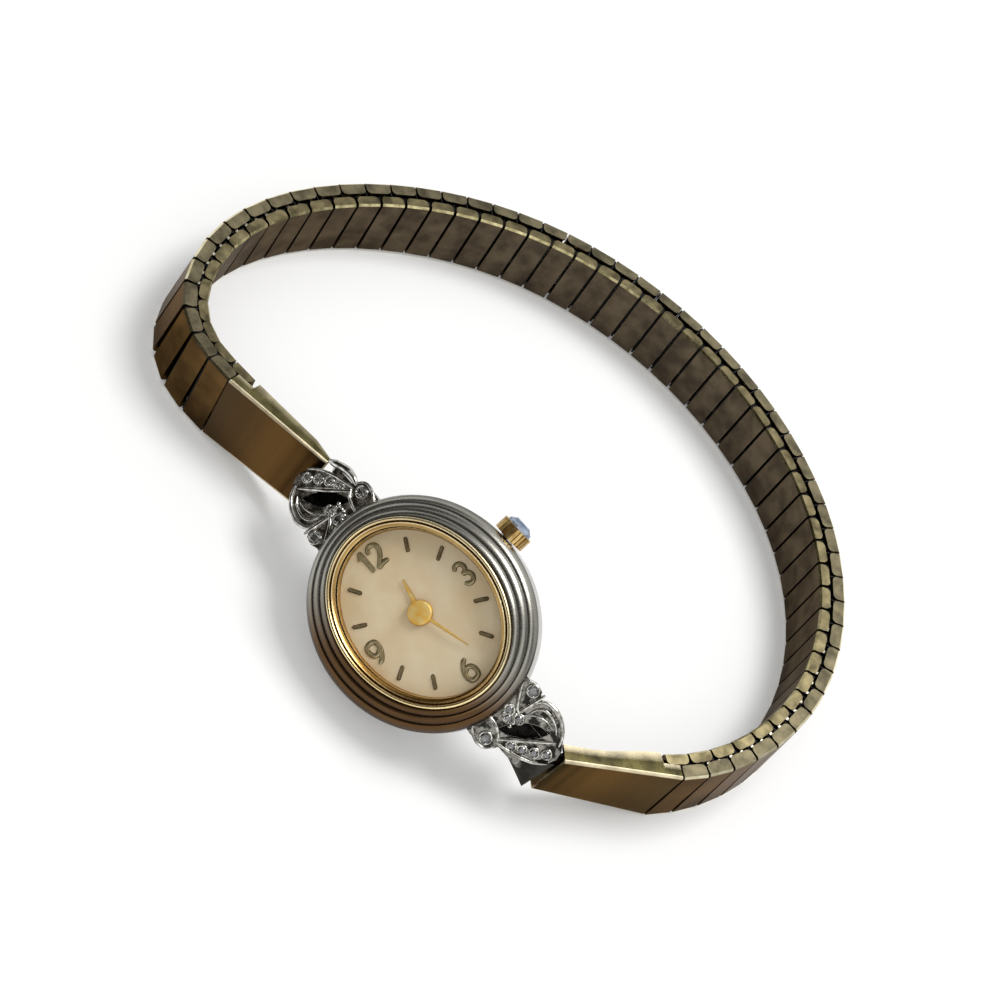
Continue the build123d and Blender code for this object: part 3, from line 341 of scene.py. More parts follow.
def glassFinish(name, tone, ior):
    # light bends in it, and lamps shine through it onto what lies below
    material, tree = newMaterial(name)
    place = addNode(tree, "TexCoord")
    haze = addNode(tree, "TexNoise", {"Vector": (place, "Object"), "Scale": 1 / (glassLook["hazeMm"] * mm),
                                      "Detail": 3.0})
    wear = addNode(tree, "MapRange", {"Value": (haze, "Fac"), "To Min": 0.0, "To Max": glassLook["wear"]})
    shader = addNode(tree, "BsdfPrincipled", {"Base Color": toLinear(tone), "Roughness": (wear, 0),
                                              "IOR": ior, "Transmission Weight": 1.0})
    clear = addNode(tree, "BsdfTransparent", {"Color": glassLook["shadowTone"]})
    path = addNode(tree, "LightPath")
    through = addNode(tree, "Math", {0: (path, "Is Shadow Ray"), 1: (path, "Is Diffuse Ray")},
                      {"operation": "MAXIMUM"})
    mixed = addNode(tree, "MixShader", {0: (through, 0), 1: (shader, 0), 2: (clear, 0)})
    addNode(tree, "OutputMaterial", {"Surface": (mixed, 0)})
    return material


metals["mineralGlass"] = glassFinish("mineralGlass", "#fdfdf8", 1.5)
metals["cutStone"] = glassFinish("cutStone", "#f4f6f8", 2.1)
print("finishes made:", len(metals))


# Solids in one finish each
solidFinish = {
    "whitePlate": "case_body bezel", "brushedBack": "case_back", "sealRubber": "back_gasket",
    "yellowGold": "bezel_rim", "mineralGlass": "crystal", "ringPlastic": "crystal_gasket movement_ring",
    "dialLacquer": "dial", "dialMarks": "dial_numerals dial_markers", "handGold": "hour_hand minute_hand",
    "brass": "hour_wheel centre_wheel minute_wheel third_wheel step_wheel battery_clip",
    "nickel": "rotor main_plate train_bridge movement_screws battery stator crown_tube stem detent_slide "
              "lug_bars",
    "boardGreen": "circuit_board", "copperWire": "coil", "crownGold": "crown", "stoneCap": "crown_stone",
    "whiteCast": "upper_lug lower_lug", "cutStone": "lug_stones", "steelSide": "upper_hook lower_hook",
}


def dress(obj, names, indices):
    obj.data.materials.clear()
    for name in names:
        obj.data.materials.append(metals[name])
    obj.data.polygons.foreach_set("material_index", indices.astype(np.int32))


for finish, names in solidFinish.items():
    for nodeName in names.split():
        dress(nodes[nodeName], [finish], np.zeros(len(nodes[nodeName].data.polygons)))

# The band: each plate's face, its sides and its edge have their own finish, by how upright they are; these
# tones
# are painted light: painted reflections on the faces and sides and a painted highlight on the edge
bandFinish = {"outer_links": ("goldFace", "goldSide", "goldEdgeHighlight"),
              "inner_links": ("satinSteel", "steelSide", "steelEdgeHighlight"),
              "link_clips": ("springSteel", "springSteel", "springSteel")}
sideLevel, edgeLevel = 0.85, 0.35
for kind, names in bandFinish.items():
    for stretch in stretches:
        obj = nodes[f"{kind}_{stretch}"]
        normals = np.zeros(len(obj.data.polygons) * 3)
        obj.data.polygons.foreach_get("normal", normals)
        upright = np.abs(normals[2::3])
        dress(obj, names, np.where(upright > sideLevel, 1, np.where(upright > edgeLevel, 2, 0)))
print("solids dressed")


# Surfaces carried along a path
def merged(mesh):
    # a working copy with its doubled points joined
    work = bmesh.new()
    work.from_mesh(mesh)
    bmesh.ops.remove_doubles(work, verts=work.verts, dist=mergeGap)
    return work


def gridFaces(index, loop=False):
    # index numbers a grid of points, rows along the path and columns round the profile; neighbours make
    # the faces, and a path that isn't a loop has a cap at each end
    here, ahead = (index, np.roll(index, -1, 0)) if loop else (index[:-1], index[1:])
    quads = np.stack([here, np.roll(here, -1, 1), np.roll(ahead, -1, 1), ahead], -1).reshape(-1, 4).tolist()
    return quads if loop else quads + [index[0][::-1].tolist(), index[-1].tolist()]


def closedMesh(name, points, faces, smoothAngle, **marks):
    # marks are values at the points, in order, for the finish to read; doubles are merged, faces turned
    # outwards, and the surface is smooth below the angle
    mesh = bpy.data.meshes.new(name)
    mesh.from_pydata(np.reshape(points, (-1, 3)).tolist(), [], faces)
    for key, values in marks.items():
        given = np.zeros(len(mesh.vertices), np.float32)
        given[:np.size(values)] = np.ravel(values)
        mesh.attributes.new(key, "FLOAT", "POINT").data.foreach_set("value", given)
    work = merged(mesh)
    bmesh.ops.recalc_face_normals(work, faces=work.faces)
    work.to_mesh(mesh)
    work.free()
    mesh.shade_smooth()
    mesh.set_sharp_from_angle(angle=math.radians(smoothAngle))
    return mesh


def tubesMesh(name, tubes, smoothAngle, **marks):
    # each tube is a grid of points, rows along it and columns round it
    faces, first = [], 0
    for tube in tubes:
        index = first + np.arange(tube.size // 3).reshape(tube.shape[:2])
        faces += gridFaces(index)
        first += index.size
    return closedMesh(name, np.vstack([tube.reshape(-1, 3) for tube in tubes]), faces, smoothAngle, **marks)


def smoothPath(points, count):
    # a Catmull-Rom curve through the points, sampled evenly in its parameter to just short of the last one
    points = np.asarray(points, float)
    padded = np.vstack([2 * points[0] - points[1], points, 2 * points[-1] - points[-2]])
    t = np.linspace(0, len(points) - 1 - 1e-6, count)
    k = t.astype(int)
    f = (t - k)[:, None]
    a, b, c, d = (padded[k + shift] for shift in range(4))
    square, cube = (2 * a - 5 * b + 4 * c - d) * f ** 2, (3 * b - a - 3 * c + d) * f ** 3
    return 0.5 * (2 * b + (c - a) * f + square + cube)


def leftOf(line):
    # the direction to the left of a flat path, at each of its points
    along = unit(np.gradient(line, axis=0))
    return np.stack([-along[:, 1], along[:, 0]], -1)


def newPiece(mesh, finish, body, replaced=()):
    # the piece has its mesh's name
    piece = bpy.data.objects.new(mesh.name, mesh)
    for one in ([finish] if isinstance(finish, str) else finish):
        mesh.materials.append(metals[one])
    bpy.context.scene.collection.objects.link(piece)
    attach(piece, body)
    if replaced:
        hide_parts(*replaced)
    return piece


# Painted reflection of a warm, dim room on the head's far side: its direction in the head's frame, and where
# it sets in
warmRoomReflection = {"side": (-0.9, -0.44, 0.0), "fromMm": 0.0, "toMm": 6.0}
mottle = 0.5  # how far the drift moves the wear-and-sheen value


def wearAndSheenFinish(name, look):
    # a turned metal whose crests are lighter and whose grooves are darker, as painted highlight and painted
    # shade: the wear-and-sheen value says which; towards the warm room its tones turn to the warm ones, a
    # painted reflection
    material, tree = newMaterial(name)
    place = addNode(tree, "TexCoord")
    wear = addNode(tree, "Attribute", None, {"attribute_name": "wear"})
    drift = addNode(tree, "TexNoise", {"Vector": (place, "Object"), "Scale": 1 / (look["driftMm"] * mm),
                                       "Detail": 2.0})
    shift = addNode(tree, "Math", {0: (drift, "Fac"), 1: mottle, 2: -mottle / 2},
                    {"operation": "MULTIPLY_ADD"})
    level = addNode(tree, "Math", {0: (wear, "Fac"), 1: (shift, 0)}, {"operation": "ADD"})
    cool, warm = (addNode(tree, "ValToRGB", {"Fac": (level, 0)}, stops=tuple(zip((0.0, 0.5, 1.0), look[key])))
                  for key in ("tones", "warmTones"))
    across = Vector(axes.T @ np.array(warmRoomReflection["side"]))
    fromHead = addNode(tree, "Mapping", {"Vector": (place, "Object"), "Location": -Vector(headCentre)})
    reach = addNode(tree, "VectorMath", {0: (fromHead, 0), 1: across}, {"operation": "DOT_PRODUCT"})
    side = addNode(tree, "MapRange", {"Value": (reach, "Value"), "From Min": warmRoomReflection["fromMm"] * mm,
                                      "From Max": warmRoomReflection["toMm"] * mm},
                   {"interpolation_type": "SMOOTHSTEP"})
    tones = addNode(tree, "Mix", {0: (side, 0), 6: (cool, "Color"), 7: (warm, "Color")},
                    {"data_type": "RGBA"})
    rough = grainedGloss(tree, place, look)[1]
    shader = addNode(tree, "BsdfPrincipled", {"Base Color": (tones, 2), "Metallic": 1.0,
                                              "Roughness": (rough, 0)})
    addNode(tree, "OutputMaterial", {"Surface": (shader, 0)})
    return material


# Turned white-plated brass of the bezel, and the thin gold-plated rim inside it
metals["bezelPlate"] = wearAndSheenFinish("bezelPlate", {
    "tones": ("#514f48", "#787670", "#a6a49b"), "warmTones": ("#33251a", "#433121", "#61492f"),
    "driftMm": 3.5, "grainMm": 0.08, "rough": (0.22, 0.34)})
metals["rimGold"] = wearAndSheenFinish("rimGold", {
    "tones": ("#7a5c34", "#c0a067", "#f5e6bc"), "warmTones": ("#7d5526", "#c79a52", "#ffe9b0"),
    "driftMm": 2.5, "grainMm": 0.08, "rough": (0.20, 0.34)})

# Bezel, rim and reflector ring: half sizes in millimetres, heights above the head's own zero. A step has its
# share of the way in and its rise; a profile's points are inset from the outside, height and wear-and-sheen
# value, high for a painted highlight and low for painted shade
bezelShape = {"outerShort": 9.0, "outerLong": 10.0, "innerShort": 6.82, "innerLong": 8.32, "low": 1.0,
              "steps": ((0.0, 0.84), (0.38, 0.42), (0.72, 0.34)), "bead": (0.65, 1.47), "beadPoints": 9,
              "beadShare": 0.86, "beadWearAndSheen": (0.45, 0.55), "groove": 0.015, "grooveLip": 0.4,
              "grooveShares": (0.92, 0.98), "grooveWearAndSheen": (0.7, 0.25), "ledge": 1.7,
              "openShort": 6.0, "openLong": 7.5, "seatShort": 6.75, "seatLong": 8.25, "seatTop": 1.3,
              "innerWearAndSheen": (0.2, 0.3, 0.3, 0.2, 0.2)}
rimShape = {"short": 6.8, "long": 8.3, "beadRadius": 0.16, "beadLow": 2.74,
            "beadWearAndSheen": (0.4, 0.7, 1.0, 1.0, 1.0),
            "profile": ((0.27, 2.86, 0.8), (0.33, 2.76, 0.1), (0.38, 2.72, 0.0), (0.43, 2.77, 0.3),
                        (0.49, 2.83, 1.0), (0.55, 2.80, 0.7), (0.60, 2.74, 0.25), (0.70, 2.69, 0.35),
                        (0.8, 2.64, 0.55), (0.8, 2.61, 0.3), (0.3, 2.61, 0.2), (0.3, 1.72, 0.2),
                        (0.0, 1.72, 0.2))}
reflectorShape = {"short": 5.99, "long": 7.49,
                  "profile": ((0.0, 1.84, 0.6), (0.02, 1.84, 0.9), (0.08, 1.555, 0.5), (0.16, 1.31, 0.3),
                              (0.16, 1.27, 0.0), (0.0, 1.27, 0.0))}
ovalPoints = 224


def ovalSweep(name, halfShort, halfLong, heights, wear):
    # x = halfShort cos t, y = halfLong sin t at each profile point, closed both ways
    turn = np.linspace(0, 2 * np.pi, ovalPoints, endpoint=False)[:, None]
    flat = np.stack([np.cos(turn) * halfShort, np.sin(turn) * halfLong, np.ones_like(turn) * heights], -1)
    index = np.arange(flat.size // 3).reshape(flat.shape[:2])
    return closedMesh(name, inHead(flat), gridFaces(index, loop=True), smoothAngle=50,
                      wear=np.ones_like(turn) * wear)


def bezelMesh(look):
    # each step is an arc of an oval, between the two bead angles, that ends in a narrow groove at the foot of
    # the next
    angle = np.linspace(*look["bead"], look["beadPoints"])
    inward, upward = np.cos(angle[0]) - np.cos(angle), np.sin(angle) - np.sin(angle[0])
    inward, upward = inward / inward[-1], upward / upward[-1]
    ends = [start for start, _ in look["steps"][1:]] + [1.0]
    shares, heights, wear = [], [], []
    low = look["low"]
    for (start, rise), end in zip(look["steps"], ends):
        run = end - start
        shares += [*(start + run * look["beadShare"] * inward),
                   *(start + run * np.array(look["grooveShares"]))]
        heights += [*(low + rise * upward), *(low + rise - look["groove"] * np.array([look["grooveLip"], 1]))]
        wear += [*(look["beadWearAndSheen"][0] + look["beadWearAndSheen"][1] * upward), *look["grooveWearAndSheen"]]
        low += rise
    halves = [np.append(look["outer" + way] + (look["inner" + way] - look["outer" + way]) * np.array(shares),
                        [look[part + way] for part in ("inner", "open", "open", "seat", "seat")])
              for way in ("Short", "Long")]
    heights += [look["ledge"], look["ledge"], look["seatTop"], look["seatTop"], look["low"]]
    wear += look["innerWearAndSheen"]
    return ovalSweep("bezelTurned", *halves, np.array(heights), np.array(wear))


def ringMesh(name, look):
    # a quarter-round bead outside, where the ring has one, then its profile
    profile = np.array(look["profile"])
    if "beadWearAndSheen" in look:
        angle = np.linspace(np.pi, np.pi / 2, len(look["beadWearAndSheen"]))
        radius = look["beadRadius"]
        bead = [radius + radius * np.cos(angle), look["beadLow"] + radius * np.sin(angle), look["beadWearAndSheen"]]
        profile = np.vstack([np.transpose(bead), profile])
    inset, height, wear = profile.T
    return ovalSweep(name, look["short"] - inset, look["long"] - inset, height, wear)


newPiece(ringMesh("reflectorRing", reflectorShape), "rimGold", "head")
newPiece(bezelMesh(bezelShape), "bezelPlate", "head", ["bezel"])
newPiece(ringMesh("rimTurned", rimShape), "rimGold", "head", ["bezel_rim"])
print("bezel and rim swept")


# End pieces: pressed gold-filled plate. Its brown face, darker towards the lug, and its olive walls are
# painted reflections of the room, and the cream along its worn edge is a painted highlight
coverLook = {"faceRun": ((0.0, "#453828"), (0.25, "#4c3924"), (0.62, "#5f4526"), (0.90, "#45311a"),
                         (1.0, "#20160a")),
             "bandsAlong": 9.0, "bandShift": 0.30, "side": ((0.36, "#454129"), (0.64, "#6b6544")),
             "edge": "#f0e2c0", "stainMm": 1.6, "stainRange": (0.3, 0.6), "rub": (0.55, 1.0),
             "grainMm": 0.09, "rough": (0.18, 0.32), "edgeRough": 0.25, "graze": "#dad1c3"}
lowerSideShade = ((0.36, "#29261a"), (0.64, "#4d472c"))  # painted shade: the lower one's walls face away from the window


def coverFinish(name, look):
    # run goes from the band to the head, side is 1 on the walls, wear-and-sheen is 1 along the rounded edge,
    # where the cream painted highlight goes
    material, tree = newMaterial(name)
    place = addNode(tree, "TexCoord")
    run, side, wear = (addNode(tree, "Attribute", None, {"attribute_name": key})
                       for key in ("run", "side", "wear"))
    bands = addNode(tree, "TexNoise", {"W": (run, "Fac"), "Scale": look["bandsAlong"], "Detail": 1.0},
                    {"noise_dimensions": "1D"})
    moved = addNode(tree, "Math", {0: (bands, "Fac"), 1: look["bandShift"], 2: (run, "Fac")},
                    {"operation": "MULTIPLY_ADD"})
    moved = addNode(tree, "Math", {0: (moved, 0), 1: look["bandShift"] / 2}, {"operation": "SUBTRACT"})
    face = addNode(tree, "ValToRGB", {"Fac": (moved, 0)}, stops=look["faceRun"])
    stain = addNode(tree, "TexNoise", {"Vector": (place, "Object"), "Scale": 1 / (look["stainMm"] * mm),
                                       "Detail": 3.0})
    wall = addNode(tree, "ValToRGB", {"Fac": (stain, "Fac")}, stops=look["side"])
    base = addNode(tree, "Mix", {0: (side, "Fac"), 6: (face, "Color"), 7: (wall, "Color")},
                   {"data_type": "RGBA"})
    rub = addNode(tree, "MapRange", {"Value": (stain, "Fac"), "From Min": look["stainRange"][0],
                                     "From Max": look["stainRange"][1], "To Min": look["rub"][0],
                                     "To Max": look["rub"][1]})
    rub = addNode(tree, "Math", {0: (rub, 0), 1: (wear, "Fac")}, {"operation": "MULTIPLY"})
    tone = addNode(tree, "Mix", {0: (rub, 0), 6: (base, 2), 7: toLinear(look["edge"])}, {"data_type": "RGBA"})
    rough = grainedGloss(tree, place, look)[1]
    rough = addNode(tree, "Math", {0: (wear, "Fac"), 1: look["edgeRough"], 2: (rough, 0)},
                    {"operation": "MULTIPLY_ADD"})
    shader = addNode(tree, "BsdfPrincipled", {"Base Color": (tone, 2), "Metallic": 1.0,
                                              "Roughness": (rough, 0),
                                              "Specular Tint": toLinear(look["graze"])})
    addNode(tree, "OutputMaterial", {"Surface": (shader, 0)})
    return material


metals["upperPlate"] = coverFinish("upperPlate", coverLook)
metals["lowerPlate"] = coverFinish("lowerPlate", dict(coverLook, side=lowerSideShade))
coverShape = {"wall": 0.25, "round": 0.26, "notch": 1.65, "notchDepth": 1.2, "notchStep": 0.001,
              "plateDepth": 0.75, "rings": 54, "arc": 6, "halfWaves": 2.2,
              "upper": {"depths": ((0.0, 2.05), (0.80, 1.70), (1.0, 0.80)), "wave": 0.0},
              "lower": {"depths": ((0.0, 2.05), (0.60, 1.75), (1.0, 1.50)), "wave": 0.16}}


def separateSolids(nodeName):
    # the points of each separate solid in a node
    work = merged(nodes[nodeName].data)
    seen, found = set(), []
    for start in work.verts:
        if start in seen:
            continue
        stack, island = [start], []
        seen.add(start)
        while stack:
            vertex = stack.pop()
            island.append(vertex.co[:])
            for edge in vertex.link_edges:
                other = edge.other_vert(vertex)
                if other not in seen:
                    seen.add(other)
                    stack.append(other)
        found.append(np.array(island))
    work.free()
    return found


def coverCorners(nodeName):
    # outermost points of the solid: [end, edge] of the roof, and the ways down its walls at both ends
    points = np.array([vertex.co[:] for vertex in nodes[nodeName].data.vertices])
    middle = points.mean(0)
    forward = np.linalg.svd(points - middle, full_matrices=False)[2][0]
    forward *= np.sign(forward @ (headCentre - middle))
    up = np.array([0.0, 0.0, 1.0])
    out = np.cross(up, forward)
    out *= np.sign(out @ middle)
    corner = {(end, edge, level): points[np.argmax(points @ (end * forward + edge * up + level * out))]
              for end in (-1, 1) for edge in (-1, 1) for level in (-1, 1)}
    roof = np.array([[corner[end, edge, 1] for edge in (1, -1)] for end in (-1, 1)])
    down = np.array([sum(corner[end, edge, -1] - corner[end, edge, 1] for edge in (1, -1))
                     for end in (-1, 1)])
    return roof, unit(down)


def coverMesh(label):
    # a rounded U section, its corners in straight lines from end to end; the walls are cut away for the
    # last link
    shape, own = coverShape, coverShape[label]
    roof, down = coverCorners(label + "_end_piece")
    length = np.linalg.norm((roof[1] - roof[0]).mean(0)) / mm
    share = np.linspace(0, 1, shape["rings"])
    notch = shape["notch"] / length
    share = np.sort(np.append(share, [notch - shape["notchStep"], notch + shape["notchStep"]]))
    depth = np.interp(share, *zip(*own["depths"])) + own["wave"] * np.sin(share * shape["halfWaves"] * np.pi)
    depth = np.where(share < notch, shape["notchDepth"], depth)
    top, bottom = (roof[0, edge] + (roof[1, edge] - roof[0, edge]) * share[:, None] for edge in (0, 1))
    width = np.linalg.norm(bottom - top, axis=1) / mm
    across = unit(bottom - top)
    below = down[0] + (down[1] - down[0]) * share[:, None]
    angle = np.linspace(0, np.pi / 2, shape["arc"] + 1)
    r, t, one = shape["round"], shape["wall"], np.ones_like(share)[:, None]
    wide, deep = width[:, None], depth[:, None]
    sideways = np.hstack([0 * wide, 0 * wide, one * r * (1 - np.cos(angle)), wide * 0.25, wide * 0.5])
    downward = np.hstack([deep, (deep + r) / 2, one * r * (1 - np.sin(angle)), 0 * wide, 0 * wide])
    sideways = np.hstack([sideways, wide - sideways[:, -2::-1], wide - t, wide - t, one * t, one * t])
    downward = np.hstack([downward, downward[:, -2::-1], deep, one * t, one * t, deep])
    points = (top[:, None] + across[:, None] * sideways[..., None] * mm
              + below[:, None] * downward[..., None] * mm)
    # wear-and-sheen: 1 along the rounded edge, where the cream painted highlight goes
    half = np.concatenate([[0.5, 0], np.sin(2 * angle) ** 0.5, [0, 0]])
    wear = np.tile(np.concatenate([half, half[-2::-1], np.zeros(4)]), (len(share), 1))
    half = np.concatenate([[1, 1], angle < np.pi / 4, [0, 0]])
    side = np.tile(np.concatenate([half, half[-2::-1], np.ones(4)]), (len(share), 1))
    # the end wall towards the head, open below for the hook
    ends = (np.argmin(np.abs(share - (1 - t / length))), len(share) - 1)
    endWall = np.array([[top[n] + (across[n] * a + below[n] * d) * mm
                         for a, d in ((t, t), (width[n] - t, t), (width[n] - t, shape["plateDepth"]),
                                      (t, shape["plateDepth"]))] for n in ends])
    run = share[:, None] * np.ones_like(wear)
    return tubesMesh(label + "Cover", [points, endWall], smoothAngle=48, wear=wear, side=side, run=run)


for label in ("upper", "lower"):
    nodeName = label + "_end_piece"
    newPiece(coverMesh(label), label + "Plate", nodes[nodeName]["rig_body"], [nodeName])
print("end pieces formed")

# Liners: dark strips of painted shade that close the gaps between neighbouring links, reach to the other row
# and stay behind every visible face; where two stretches bend against each other they keep only a share of
# their size
linerShape = {"outer_links": {"thick": 0.15, "taper": 0.33, "back": 0.10, "reach": 0.16, "short": 0.4,
                              "towards": -1},
              "inner_links": {"thick": 0.24, "taper": 0.15, "back": 0.34, "reach": 0.16, "short": 0.5,
                              "towards": 1}}
linerLimits = {"longestStep": 3.2, "bendShare": 0.38, "around": 16, "loopStart": 2.4}


def linkFrames(kind):
    # every link in order round the loop: its stretch, middle, directions outwards and upright, and its size
    links = [(island, stretch) for stretch in stretches for island in separateSolids(f"{kind}_{stretch}")]
    middles = np.array([(island.min(0) + island.max(0)) / 2 for island, _ in links])
    turned = (np.arctan2(middles[:, 1], middles[:, 0]) + linerLimits["loopStart"]) % (2 * np.pi)
    order = np.argsort(-turned)
    ways, frames = np.gradient(middles[order], axis=0), []
    for number, way in zip(order, ways):
        island, stretch = links[number]
        up = np.linalg.svd(island - island.mean(0), full_matrices=False)[2][0]
        up *= np.sign(up[2])
        along = unit(way - up * (way @ up))
        out = np.cross(along, up)
        out *= np.sign(out @ middles[number])
        own = np.stack([along, out, up])
        low, high = (island @ own.T).min(0), (island @ own.T).max(0)
        frames.append((stretch, (low + high) / 2 @ own, out, up, (high - low) / mm))
    return frames


def linerMesh(name, places, size):
    # a slim bar, thicker outwards: points round a superellipse, straight from top to bottom
    turn = np.linspace(0, 2 * np.pi, linerLimits["around"], endpoint=False)
    across, deepwise = (np.sign(v) * np.abs(v) ** 0.5 / 2 for v in (np.cos(turn), np.sin(turn)))
    across = across * (1 + 2 * size["taper"] * deepwise)
    bars = []
    for middle, along, out, up, share, deep, tall in places:
        flat = np.outer(across * size["thick"] * share, along) + np.outer(deepwise * deep, out)
        ring = middle + flat * mm
        bars.append(np.stack([ring - up * tall / 2 * mm, ring + up * tall / 2 * mm]))
    return tubesMesh(name, bars, smoothAngle=50)


for kind, size in linerShape.items():
    frames = linkFrames(kind)
    places = {stretch: [] for stretch in stretches}
    for (stretch, here, out, up, span), (stretchAhead, ahead, outAhead, _, _) in zip(frames, frames[1:]):
        if np.linalg.norm(ahead - here) < linerLimits["longestStep"] * mm:
            along = unit(ahead - here)
            out = out + outAhead
            out = unit(out - along * (out @ along))
            share = 1.0 if stretch == stretchAhead else linerLimits["bendShare"]
            deep = (span[1] + size["reach"] - size["back"]) * share
            offset = span[1] / 2 + size["reach"] - deep / 2
            middle = (here + ahead) / 2 + out * size["towards"] * offset * mm
            places[stretch].append((middle, along, out, up, share, deep, span[2] - size["short"]))
    for stretch, found in places.items():
        if found:
            name = kind.split("_")[0] + f"Liners_{stretch}"
            newPiece(linerMesh(name, found, size), "gapShade", nodes[f"{kind}_{stretch}"]["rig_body"])
    print(kind, len(frames), "links,", sum(len(found) for found in places.values()), "liners")


# CAD solids with rounded edges, whose bright tops end in an edge of another tone: painted shade on the marks
# and hands, a painted highlight on the lugs. The round's width in millimetres, the two finishes and the steps
# of the round. A merged copy stands for the node
roundEdges = {"dial_markers": (0.07, "dialMarks", "markEdge", 1),
              "hour_hand": (0.03, "handGold", "handEdge", 1),
              "minute_hand": (0.03, "handGold", "handEdge", 1),
              "upper_lug": (0.12, "whiteCast", "castEdge", 3),
              "lower_lug": (0.12, "shadedCast", "castEdge", 3)}
# in degrees: faces that meet at less than the first are one, at more than the second are rounded, and at
# more than the third are shaded sharp
edgeAngles = {"oneFace": 1.0, "round": 32, "sharp": 35}


def bevelled(nodeName):
    source = nodes[nodeName]
    width, finish, edgeFinish, steps = roundEdges[nodeName]
    mesh = source.data.copy()
    mesh.name = nodeName + "Rounded"
    mesh.materials.clear()
    work = merged(mesh)
    bmesh.ops.dissolve_limit(work, angle_limit=math.radians(edgeAngles["oneFace"]), verts=work.verts,
                             edges=work.edges)
    work.to_mesh(mesh)
    work.free()
    mesh.polygons.foreach_set("material_index", np.zeros(len(mesh.polygons), np.int32))
    piece = newPiece(mesh, [finish, edgeFinish], source["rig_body"], [nodeName])
    soft = piece.modifiers.new("roundEdges", "BEVEL")
    soft.width = width * mm
    soft.segments = steps
    soft.limit_method = "ANGLE"
    soft.angle_limit = math.radians(edgeAngles["round"])
    soft.material = 1  # the edge finish
    soft.harden_normals = False
    mesh.shade_smooth()
    mesh.set_sharp_from_angle(angle=math.radians(edgeAngles["sharp"]))
    return piece


for nodeName in ("dial_markers", "hour_hand", "minute_hand"):
    bevelled(nodeName)

# The four numbers: a soft ribbon along each stroke, flat on the dial, with a painted highlight on top and
# painted shade at its foot
numberTones = ("#40321f", "#8a7550", "#efe0b8")
metals["numberMetal"] = wearAndSheenFinish("numberMetal", {
    "tones": numberTones, "warmTones": numberTones, "driftMm": 0.5, "grainMm": 0.08, "rough": (0.28, 0.42)})
numberShape = {"tall": 1.84, "halfStroke": 0.205, "rise": 0.13, "low": 1.25, "samples": 46, "sides": 9,
               "endShare": 0.05, "endWidth": 0.55, "arch": 0.6, "crest": 2.2, "crestGain": 1.25,
               "crestCut": 0.1,
               "places": {"1": ((-0.64, 5.90), 0.64), "2": ((0.46, 5.90), 1.10), "3": ((4.68, 0.0), 1.05),
                          "6": ((-0.1, -5.95), 1.1), "9": ((-4.72, 0.0), 1.1)}}
# each stroke's points in shares of the number's width and height
hook = ((0.34, 0.47), (0.02, 0.36), (-0.28, 0.12), (-0.44, -0.16), (-0.36, -0.42), (0.0, -0.5), (0.36, -0.42),
        (0.45, -0.18), (0.30, 0.04), (0.0, 0.09), (-0.32, -0.06))
strokes = {
    "1": ((-0.42, 0.26), (-0.05, 0.42), (0.12, 0.5), (0.12, 0.1), (0.12, -0.5)),
    "2": ((-0.44, 0.22), (-0.32, 0.42), (0.0, 0.5), (0.36, 0.38), (0.38, 0.12), (0.12, -0.14), (-0.22, -0.36),
          (-0.44, -0.49), (0.0, -0.45), (0.46, -0.48)),
    "3": ((-0.42, 0.32), (-0.18, 0.49), (0.2, 0.47), (0.38, 0.26), (0.22, 0.06), (-0.04, 0.02), (0.28, -0.04),
          (0.46, -0.25), (0.28, -0.46), (-0.06, -0.5), (-0.42, -0.34)),
    "6": hook, "9": tuple((-x, -y) for x, y in hook)}


def ribbonMesh(name, shape):
    # across the stroke an arch of half a turn; its height is the rise times the sine, flattened at the top,
    # and the stroke narrows at its ends
    turn = np.linspace(0, np.pi, shape["sides"])
    narrow, full = shape["endWidth"], shape["endShare"]
    # tone across the stroke: light on the crest as a painted highlight, dark at the foot as painted shade
    tone = np.clip(np.sin(turn) ** shape["crest"] * shape["crestGain"] - shape["crestCut"], 0, 1)
    ribbons, wear = [], []
    for digit, (middle, wide) in shape["places"].items():
        line = smoothPath(strokes[digit], shape["samples"]) * [wide, shape["tall"]] + middle
        share = np.linspace(0, 1, len(line))[:, None]
        taper = np.interp(share, [0, full, 1 - full, 1], [narrow, 1, 1, narrow])
        flat = line[:, None] - leftOf(line)[:, None] * (shape["halfStroke"] * taper * np.cos(turn))[..., None]
        height = shape["low"] + shape["rise"] * np.sin(turn) ** shape["arch"] * np.ones_like(taper)
        ribbons.append(inHead(np.concatenate([flat, height[..., None]], -1)))
        wear.append(np.tile(tone, len(line)))
    return tubesMesh(name, ribbons, smoothAngle=70, wear=np.concatenate(wear))


newPiece(ribbonMesh("dialNumbers", numberShape), "numberMetal", "head", ["dial_numerals"])


# Lugs: cast white metal; the faces inside the pointed hollow are near-black, and the walls below are smooth
lugShape = {"root": 8.6, "top": 0.85, "droop": 14.0, "hollow": ((-1.29, 14.11), (1.65, 10.97)),
            "hollowWide": 1.3, "hollowHeights": (-0.6, -0.03), "wallTop": -0.8, "margin": 0.1}


def toLug(points, side):
    # from the watch's frame to a lug's own plane: x, y, height over the plate
    local = toHead(points)
    local[:, :2] *= side
    tip = math.radians(lugShape["droop"])
    run, rise = local[:, 1] - lugShape["root"], local[:, 2] - lugShape["top"]
    return np.stack([local[:, 0], lugShape["root"] + run * math.cos(tip) - rise * math.sin(tip),
                     run * math.sin(tip) + rise * math.cos(tip)], -1)


def onLug(flat, side):
    # the other way: tipped down about the lug's root; the lower lug is turned half round
    x, y, z = flat[..., 0], flat[..., 1], flat[..., 2]
    tip = math.radians(lugShape["droop"])
    run = y - lugShape["root"]
    place = np.stack([x, lugShape["root"] + run * math.cos(tip) + z * math.sin(tip),
                      lugShape["top"] - run * math.sin(tip) + z * math.cos(tip)], -1)
    place[..., :2] *= side
    return inHead(place)


